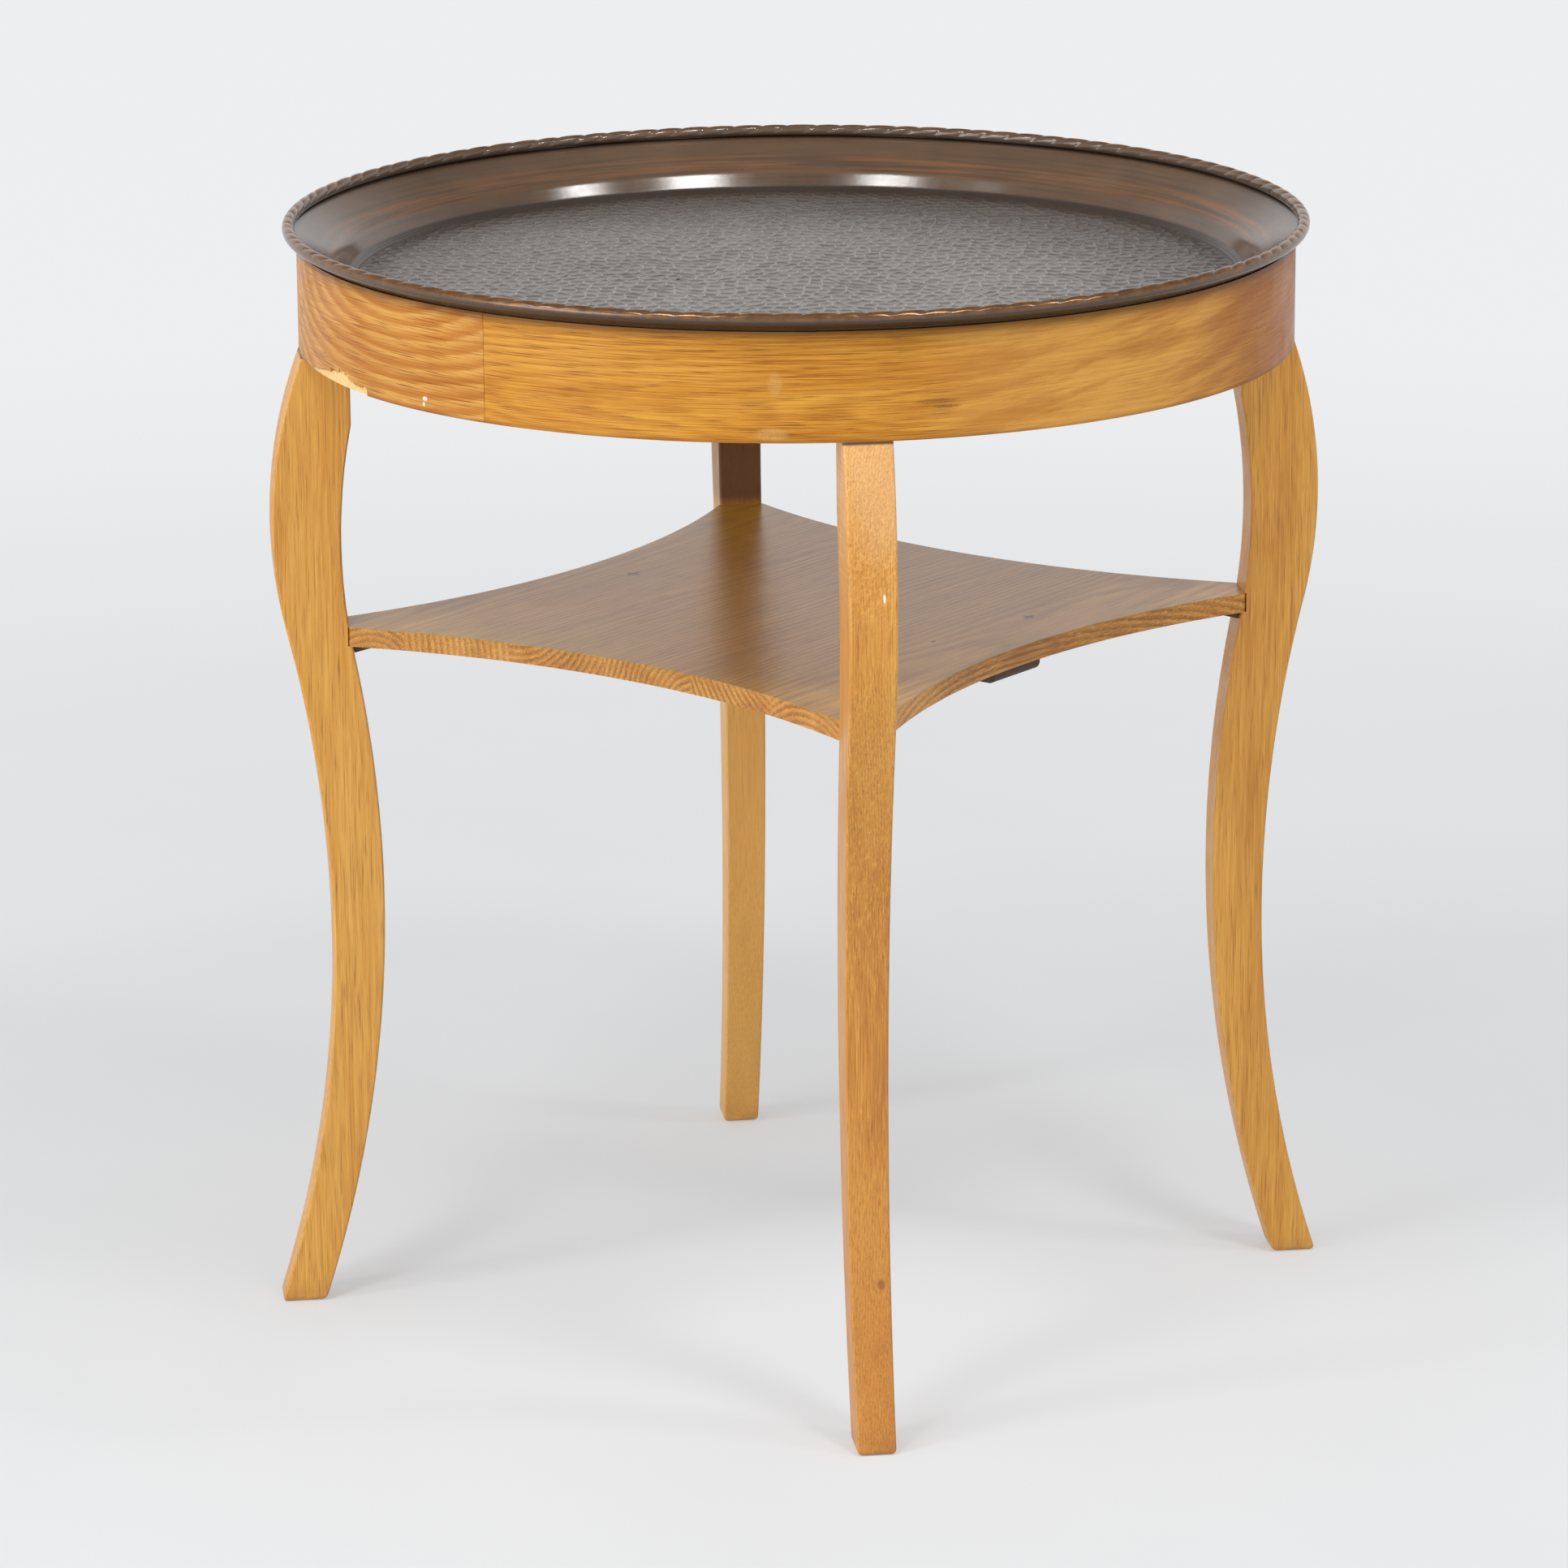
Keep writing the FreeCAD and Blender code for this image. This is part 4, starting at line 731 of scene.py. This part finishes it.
def leg_finish(name, heart, tilt):
    """Oak with upright grain, with dirt and painted shade at the shoulder line, darker at the worn foot.
    """
    finish = Finish(name + "_oak", Coat_Weight=0.10, Coat_Roughness=0.25)
    x, y, z = finish.split(finish.place())
    tones = FRONT_LEG_TONES if name == "leg_front" else LEG_TONES
    wood = oak(finish, z, x, y, heart, tilt, tones, LEG_PORE, LEG_FIGURE, LEG_RING)
    own_coats = OWN_COATS[name](finish, x, y, z) if name in OWN_COATS else []
    scuff = finish.noise(finish.place(), 60.0, 3.0, 0.6)
    foot = finish.times(finish.span(z, 0.0, 0.020, 0.25, 0.0), finish.span(scuff, 0.4, 0.65))
    # Dirt and painted shade: a dark line just under the hoop, where it sits on the shoulders.
    dirt_and_shade = finish.times(finish.span(z, *DIRT_AND_SHADE_FROM), 0.9)
    finish.set(Base_Color=finish.coats(wood, *own_coats, (dirt_and_shade, DIRT_AND_SHADE), (foot, FOOT_STAIN)),
               Roughness=finish.span(finish.noise(finish.place(), 40.0), 0.3, 0.7, 0.36, 0.5))
    return finish


print("legs to finish:", ", ".join(LEG_HEARTS))

# %% [markdown]
# The table has been dragged about for decades, so the lower edges of its feet are worn round, while
# the solid legs end square. Each leg's own mesh is taken over and welded, cut level at a few heights
# just above the floor, and the points below the highest cut are drawn in along a quarter of a circle.
# Shading is weighted by the size of the faces, which keeps the broad sides flat beside the eased edges.

# %% Worn feet
FOOT_ROUND = 0.0035
CUT_ANGLES = np.radians([0.0, 18.0, 36.0, 54.0, 72.0])
WELD_DISTANCE, SOLE_HEIGHT = 1e-7, 1e-5


def sliced(solid, heights):
    """Points and triangles of a solid's mesh, welded and cut level at some heights."""
    shape = bmesh.new()
    shape.from_mesh(solid.data)
    shape.transform(solid.matrix_world)
    bmesh.ops.remove_doubles(shape, verts=shape.verts[:], dist=WELD_DISTANCE)
    for height in heights:
        everything = shape.verts[:] + shape.edges[:] + shape.faces[:]
        bmesh.ops.bisect_plane(shape, geom=everything,
                               plane_co=(0.0, 0.0, height), plane_no=(0.0, 0.0, 1.0))
    bmesh.ops.triangulate(shape, faces=shape.faces[:])
    mesh = bpy.data.meshes.new("sliced")
    shape.to_mesh(mesh)
    shape.free()
    points, corners = np.empty(3 * len(mesh.vertices)), np.empty(len(mesh.loops), dtype=np.int32)
    mesh.vertices.foreach_get("co", points)
    mesh.loops.foreach_get("vertex_index", corners)
    bpy.data.meshes.remove(mesh)
    return points.reshape(-1, 3), corners.reshape(-1, 3)


def worn_leg(name, finish):
    """The leg with a rounded foot: at height z below the radius r its section shrinks on each side by
    r - sqrt(r^2 - (r - z)^2), about the middle of the foot's underside."""
    points, faces = sliced(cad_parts[name], FOOT_ROUND * (1.0 - np.sin(CUT_ANGLES)))
    sole = points[points[:, 2] < SOLE_HEIGHT, :2]
    middle = 0.5 * (sole.max(axis=0) + sole.min(axis=0))
    half = 0.5 * (sole.max(axis=0) - sole.min(axis=0))
    below = np.clip(FOOT_ROUND - points[:, 2:], 0.0, FOOT_ROUND)
    inset = FOOT_ROUND - np.sqrt(FOOT_ROUND ** 2 - below ** 2)
    points[:, :2] -= (points[:, :2] - middle) * inset / half
    piece = make_piece(make_mesh("worn_" + name, points, [faces]), finish, "table", "leg_oak", name)
    piece.modifiers.new("flat_sides", "WEIGHTED_NORMAL").keep_sharp = True


for leg, (heart, tilt) in LEG_HEARTS.items():
    worn_leg(leg, leg_finish(leg, heart, tilt))

# %% [markdown]
# The hoop is faced with three strips of sliced oak whose grain runs round it. To follow the bend, the
# finish turns each place into a bearing round the axis and a height, so the veneer is painted as if
# unrolled. Each strip counts its bearing from a side of its own, so that the jump from half a turn to
# minus half a turn never falls on it. Part of the front is paler, long brown flames rise towards its
# right, and its right end, where the hoop turns from the light, is painted darker as shade. Some of
# that may be light in the photo and not wood.

# %% Veneer finish
HOOP_RADIUS, HOOP_TOP, HOOP_MIDDLE = 0.2920, 0.6440, 0.613
VENEER_TONES = (paint(156, 88, 20), paint(206, 142, 48), paint(230, 174, 78))
FLAMED_TONES = (paint(142, 76, 20), paint(184, 118, 42), paint(206, 144, 64))
FLAME, PALER, SMOKED = paint(228, 174, 92), paint(240, 180, 94), paint(160, 86, 22)
PAINTED_SHADE_TONE, DARKER_EDGES = paint(150, 78, 10), paint(92, 52, 20)
PALER_MIDDLE, PALER_REACH = (0.15, HOOP_MIDDLE), (0.13, 0.50)
SMOKE_ALONG, SMOKE_UP, SMOKE_RISE = 10.0, 75.0, -0.15


def veneer_finish(name, facing, heart, tilt, ring, figure, shade_span, marks=(), flamed=False):
    """Oak unrolled from the hoop: along is bearing times radius, across is height. Marks are places on
    the unrolled face in metres, with a reach both ways, a strength and a colour. The bearing is counted
    from facing, in degrees, and painted shade darkens the veneer between two places along it. Flamed
    veneer is browner, and its rings are pale and less frayed."""
    finish = Finish(name, Specular_IOR_Level=0.2)
    times, plus, span = finish.times, finish.plus, finish.span
    x, y, z = finish.split(finish.place())
    cos, sin = np.cos(np.radians(facing)), np.sin(np.radians(facing))
    ahead, aside = plus(times(x, cos), times(y, sin)), finish.minus(times(y, cos), times(x, sin))
    unrolled = times(finish.math("ARCTAN2", aside, ahead), HOOP_RADIUS)
    tones, ragged, line = (FLAMED_TONES, 0.45, FLAME) if flamed else (VENEER_TONES, 1.0, None)
    across = plus(z, -HOOP_MIDDLE)
    wood = oak(finish, unrolled, across, 0.0, heart, tilt, tones, 0.9, figure, ring, ragged, line)
    paler = times(finish.oval(unrolled, z, PALER_MIDDLE, PALER_REACH), 0.50)
    rising = times(plus(z, times(unrolled, SMOKE_RISE)), SMOKE_UP)
    smoke = finish.noise(finish.join(times(unrolled, SMOKE_ALONG), rising, 0.0), 1.0, 5.0, 0.65)
    smoked = times(span(smoke, 0.40, 0.64), span(unrolled, -0.06, 0.14, 0.12, 0.50))
    # The veneer is darker towards its top and its bottom edge.
    edge = plus(span(z, HOOP_BOTTOM, HOOP_BOTTOM + 0.003, 0.4, 0.0),
                span(z, HOOP_TOP - 0.006, HOOP_TOP, 0.0, 0.7))
    speckle = span(finish.noise(finish.place(), 900.0, 2.0), 0.2, 0.8, 0.4, 1.0)
    scars = [(times(times(finish.oval(unrolled, z, middle, reach), speckle), strength), colour)
             for middle, reach, strength, colour in marks]
    # Painted shade darkens the front strip's right end, where the hoop turns away from the light.
    tint = finish.coats(wood, (paler, PALER), (smoked, SMOKED),
                        (span(unrolled, *shade_span, 0.0, 0.62), PAINTED_SHADE_TONE), (edge, DARKER_EDGES), *scars)
    finish.set(Base_Color=tint, Roughness=span(finish.noise(finish.place(), 30.0), 0.3, 0.7, 0.32, 0.46))
    return finish


PAINT_SPECK, SCRATCH, STAIN = paint(246, 244, 240), paint(226, 186, 128), paint(112, 62, 26)
FRONT_MARKS = (((-0.0510, 0.6150), (0.0050, 0.0080), 0.26, SCRATCH),
               ((-0.0530, 0.5870), (0.0110, 0.0045), 0.34, SCRATCH),
               ((0.0380, 0.6030), (0.0150, 0.0018), 0.65, STAIN),
               ((0.0440, 0.6000), (0.0100, 0.0014), 0.65, STAIN))
LEFT_MARKS = (((-0.2700, 0.5895), (0.0024, 0.0016), 1.0, PAINT_SPECK),
              ((-0.2710, 0.5862), (0.0012, 0.0016), 1.0, PAINT_SPECK))
front_veneer = veneer_finish("veneer_front", -90.0, (-0.012, 0.0126), 0.060, 0.0034, 0.38,
                             (0.19, 0.30), FRONT_MARKS)
right_veneer = veneer_finish("veneer_right", 0.0, (-0.010, 0.080), 0.070, 0.0026, 0.42, (-1.0, -0.5))
left_veneer = veneer_finish("veneer_left", -90.0, (0.046, -0.1250), 0.42, 0.0080, 0.70,
                            (1.0, 2.0), LEFT_MARKS, True)
slot_in(front_veneer, "apron_veneer_1")
slot_in(right_veneer, "apron_veneer_2")

# %% [markdown]
# On the left the lower edge of the veneer has broken away and the pale ply shows. That strip is built
# anew: a thin section of veneer carried round the hoop, whose lower edge lifts where it is chipped. A
# few heights give the run of the break, and a saw-tooth of fixed random steps makes it splintery.
# Bearings are in degrees and lie closer together along the break.

# %% Chipped veneer
VENEER, GLUE = 0.0009, 0.0003
STRIP_START, STRIP_STOP = 106.0, 226.0 - np.degrees(GLUE / HOOP_RADIUS)
BREAK_START, BREAK_STOP = 188.0, 207.0
PLAIN_STEP, BREAK_STEP, END_STEPS = 0.5, 0.08, 40
CHIP_BEARINGS = (188.7, 190.9, 194.2, 199.9, 201.1, 202.2, 203.7, 206.0, 206.2)
CHIP_HEIGHTS = (0.0, 0.0024, 0.0044, 0.0094, 0.0080, 0.0054, 0.0045, 0.0038, 0.0)
SPLINTER = 0.45
FACE_LEVELS = 14

turns = np.concatenate([np.arange(STRIP_START, BREAK_START, PLAIN_STEP),
                        np.arange(BREAK_START, BREAK_STOP, BREAK_STEP),
                        np.linspace(BREAK_STOP, STRIP_STOP, END_STEPS)])
chip = np.interp(turns, CHIP_BEARINGS, CHIP_HEIGHTS)
splinter = np.interp(turns, turns[::3], draw.random(len(turns[::3])) - 0.5)
lower = HOOP_BOTTOM + chip * (1.0 + SPLINTER * splinter)
section_share = np.concatenate([np.linspace(0.0, 1.0, FACE_LEVELS), [1.0, 0.0]])
heights = lower[:, None] + (HOOP_TOP - lower[:, None]) * section_share
radii = np.concatenate([np.full(FACE_LEVELS, HOOP_RADIUS), np.full(2, HOOP_RADIUS - VENEER)])
strip_section = np.stack([np.broadcast_to(radii, heights.shape), heights], axis=-1)
strip_points = carried_round(strip_section, np.radians(turns))
loop = np.arange(FACE_LEVELS + 2)
caps = np.stack([loop, (loop + (len(turns) - 1) * len(loop))[::-1]])
strip_faces = [grid_faces(len(turns), len(loop), False, True)[:, ::-1], caps]
strip_mesh = make_mesh("chipped_veneer", strip_points, strip_faces)
make_piece(strip_mesh, left_veneer, "table", "oak_veneer", "apron_veneer_3")

# %% [markdown]
# The shelf is glued up from staves, with the grain running one way on all of them. Each stave has
# its own heart, so the end grain shows rings that change at every joint. The top still has its satin
# lacquer, which mirrors the pale room at a flat angle and looks greyer than the edges for it; only
# under the back leg, where the leg itself is mirrored, does the brown of the wood show. A knot and a
# few dents have gone dark.

# %% Shelf finish
SHELF_TOP = 0.4186
SHELF_TONES = (paint(142, 82, 26), paint(198, 136, 54), paint(230, 180, 96))
SHELF_WORN, SHELF_GRIT, DENT = paint(170, 146, 58), paint(110, 74, 44), paint(34, 20, 10)
GRIT_ALONG, GRIT_ACROSS = 25.0, 500.0
DIAGONAL = float(np.sqrt(0.5))
DENTS = (((0.0034, 0.1281), (0.0080, 0.0020)), ((0.0034, 0.1281), (0.0018, 0.0060)),
         ((0.0569, -0.1279), (0.0060, 0.0018)), ((0.0569, -0.1279), (0.0016, 0.0050)),
         ((-0.0240, -0.1170), (0.0030, 0.0016)))
STAVE_HEARTS = ((-0.150, -0.060), (-0.130, 0.030), (-0.060, -0.034),
                (0.080, 0.022), (0.240, -0.020), (0.168, -0.030))
STAVE_TILT = 0.02


def shelf_finish(number, heart):
    """Oak with grain along the diagonal, satin and a little dull on top, with dull edges."""
    finish = Finish("shelf_oak_%d" % number, Coat_Roughness=0.2)
    times, span = finish.times, finish.span
    x, y, z = finish.split(finish.place())
    along, across = times(finish.plus(x, y), DIAGONAL), times(finish.minus(y, x), DIAGONAL)
    depth = finish.plus(z, -SHELF_TOP)
    wood = oak(finish, along, across, depth, heart, STAVE_TILT, SHELF_TONES, 0.6, 0.8, 0.0040, 0.5)
    on_top = span(z, SHELF_TOP - 0.0012, SHELF_TOP - 0.0002)
    dull = finish.noise(finish.place(), 7.0, 3.0)
    scratched = finish.join(times(along, GRIT_ALONG), times(across, GRIT_ACROSS), 0.0)
    grit = finish.noise(scratched, 1.0, 4.0, 0.7)
    dents = [(times(on_top, finish.oval(along, across, *dent)), DENT) for dent in DENTS]
    tint = finish.coats(wood, (times(on_top, span(dull, 0.3, 0.7, 0.25, 0.55)), SHELF_WORN),
                        (times(on_top, span(grit, 0.34, 0.52, 0.4, 0.0)), SHELF_GRIT), *dents)
    finish.set(Base_Color=tint, Roughness=span(on_top, 0.0, 1.0, 0.42, 0.28),
               Coat_Weight=times(on_top, 0.12))
    return finish


for number, heart in enumerate(STAVE_HEARTS, start=1):
    slot_in(shelf_finish(number, heart), "shelf_stave_%d" % number)

# %% [markdown]
# Blocks and batten are dark stained softwood, the hoop's plies and the board under the tray are bare
# plywood, the dowels beech and the screws and rim wire plain steel. They hardly show, but they are
# there when the table is turned over.

# %% Hidden woods and steel
PLAIN_ALONG, PLAIN_ACROSS = 40.0, 500.0


def plain_wood(name, dark, pale, rough):
    """Bare wood: cloudy colour with fine fibres along the diagonal of the shelf."""
    finish = Finish(name)
    x, y, z = finish.split(finish.place())
    along = finish.times(finish.plus(x, y), PLAIN_ALONG)
    across = finish.times(finish.minus(y, x), PLAIN_ACROSS)
    fibre = finish.noise(finish.join(along, across, finish.times(z, PLAIN_ACROSS)), 1.0, 3.0)
    finish.set(Base_Color=finish.ramp(fibre, (0.3, dark), (0.7, pale)),
               Roughness=finish.span(fibre, 0.3, 0.7, rough, rough + 0.15))
    finish.relief(fibre, 0.0001)
    return finish


def plain_steel(name, dark, pale):
    """Steel with soft stains."""
    finish = Finish(name, Metallic=1.0)
    stain = finish.noise(finish.place(), 220.0, 3.0)
    finish.set(Base_Color=finish.ramp(stain, (0.35, dark), (0.7, pale)),
               Roughness=finish.span(stain, 0.3, 0.7, 0.3, 0.5))
    return finish


slot_in(plain_wood("stained_block", paint(62, 44, 30), paint(96, 70, 48), 0.55), "shelf_batten",
        "shelf_block_front", "shelf_block_right", "shelf_block_back", "shelf_block_left")
slot_in(plain_wood("bare_ply", paint(226, 184, 116), paint(244, 208, 146), 0.6),
        "apron_core_inner", "apron_core_outer", "tray_board")
slot_in(plain_wood("beech", paint(190, 146, 102), paint(214, 172, 128), 0.5), "shelf_dowels")
slot_in(plain_steel("steel", paint(110, 108, 106), paint(170, 168, 164)),
        "apron_screws", "board_screws", "batten_screws", "tray_rim_wire")

# %% [markdown]
# The studio floor is plain and pale. Eyes and mirrors see it fade into a nearly white distance, while
# the light that it throws back stays that of a pale grey floor, so the colours keep their level.

# %% Studio floor
FLOOR_REACH = 14.0
FLOOR_GREYS = ((0.3, paint(217, 218, 219)), (0.7, paint(223, 224, 225)))
FLOOR_PALE = paint(238, 240, 242)
FADE_START, FADE_STOP = 0.3, 2.9

studio = Finish("studio_floor", Roughness=0.9)
studio.set(Base_Color=studio.ramp(studio.noise(studio.place(), 3.0, 4.0), *FLOOR_GREYS))
far_off = studio.add("VectorMath", studio.place(), operation="LENGTH").outputs["Value"]
pale_share = studio.times(studio.seen(), studio.span(far_off, FADE_START, FADE_STOP, 0.42, 0.97))
glow = studio.add("Emission", FLOOR_PALE, 1.0).outputs[0]
mixed = studio.add("MixShader", pale_share, studio.shader.outputs[0], glow).outputs[0]
studio.feed(studio.nodes["Material Output"].inputs["Surface"], mixed)
ground = np.array([[-1, -1, 0], [1, -1, 0], [1, 1, 0], [-1, 1, 0]]) * FLOOR_REACH
ground_mesh = make_mesh("studio_floor", ground, [np.array([[0, 1, 2, 3]])])
ground_mesh.materials.append(studio.material)
studio_floor = put("studio_floor", ground_mesh)
print("studio floor:", 2.0 * FLOOR_REACH, "m wide")

# %% [markdown]
# One big lamp stands on the left. Two lamps on each side hang high in front and show as bright patches
# in the tray's wall. The room itself gives soft light from all round. Eyes and mirrors see its walls
# lighter than they light, so the background is nearly white, and its ceiling darker, so the tray is not
# washed out.

# %% Lamps and room
ROOM_LIGHT, ROOM_SEEN, CEILING_SEEN = 0.54, 0.90, 0.18
WALL_ENDS, CEILING_STARTS = 0.30, 0.62
TABLE_MIDDLE, TRAY_MIDDLE = (0.0, 0.0, 0.35), (0.0, 0.0, 0.6)


def soft_lamp(name, stand, aim, size, power):
    """A square lamp at stand that faces aim: its -Z axis is the way from stand to aim."""
    lamp = bpy.data.lights.new(name, "AREA")
    lamp.size, lamp.energy = size, power
    backward = np.array(stand) - np.array(aim)
    backward /= np.linalg.norm(backward)
    sideways = np.cross([0.0, 1.0, 0.0], backward)
    sideways /= np.linalg.norm(sideways)
    matrix = np.eye(4)
    matrix[:3] = np.column_stack([sideways, np.cross(backward, sideways), backward, stand])
    put(name, lamp).matrix_world = Matrix(matrix.tolist())
    print(name, "at", np.round(stand, 2))


soft_lamp("key_lamp", (-3.4, -2.0, 1.5), TABLE_MIDDLE, 2.4, 70.0)
for side, sign, share in (("left", -1.0, 1.10), ("right", 1.0, 1.25)):
    soft_lamp(side + "_softbox", (0.80 * sign - 0.15, -1.15, 2.45), TRAY_MIDDLE, 0.42, 12.0 * share)
    soft_lamp(side + "_panel", (1.70 * sign - 0.15, -0.70, 2.30), TRAY_MIDDLE, 0.30, 6.0 * share)

world = bpy.data.worlds.new("room")
world.use_nodes = True
bpy.context.scene.world = world
room = Graph(world.node_tree)
upward = room.split(room.add("TexCoord").outputs["Generated"])[2]
seen_level = room.span(upward, WALL_ENDS, CEILING_STARTS, ROOM_SEEN, CEILING_SEEN, "LINEAR")
level = room.span(room.seen(), 0.0, 1.0, ROOM_LIGHT, seen_level, "LINEAR")
room.fill(room.nodes["Background"], Color=(0.97, 0.98, 1.0, 1.0), Strength=level)
print("room light", ROOM_LIGHT, "walls seen", ROOM_SEEN, "ceiling seen", CEILING_SEEN)
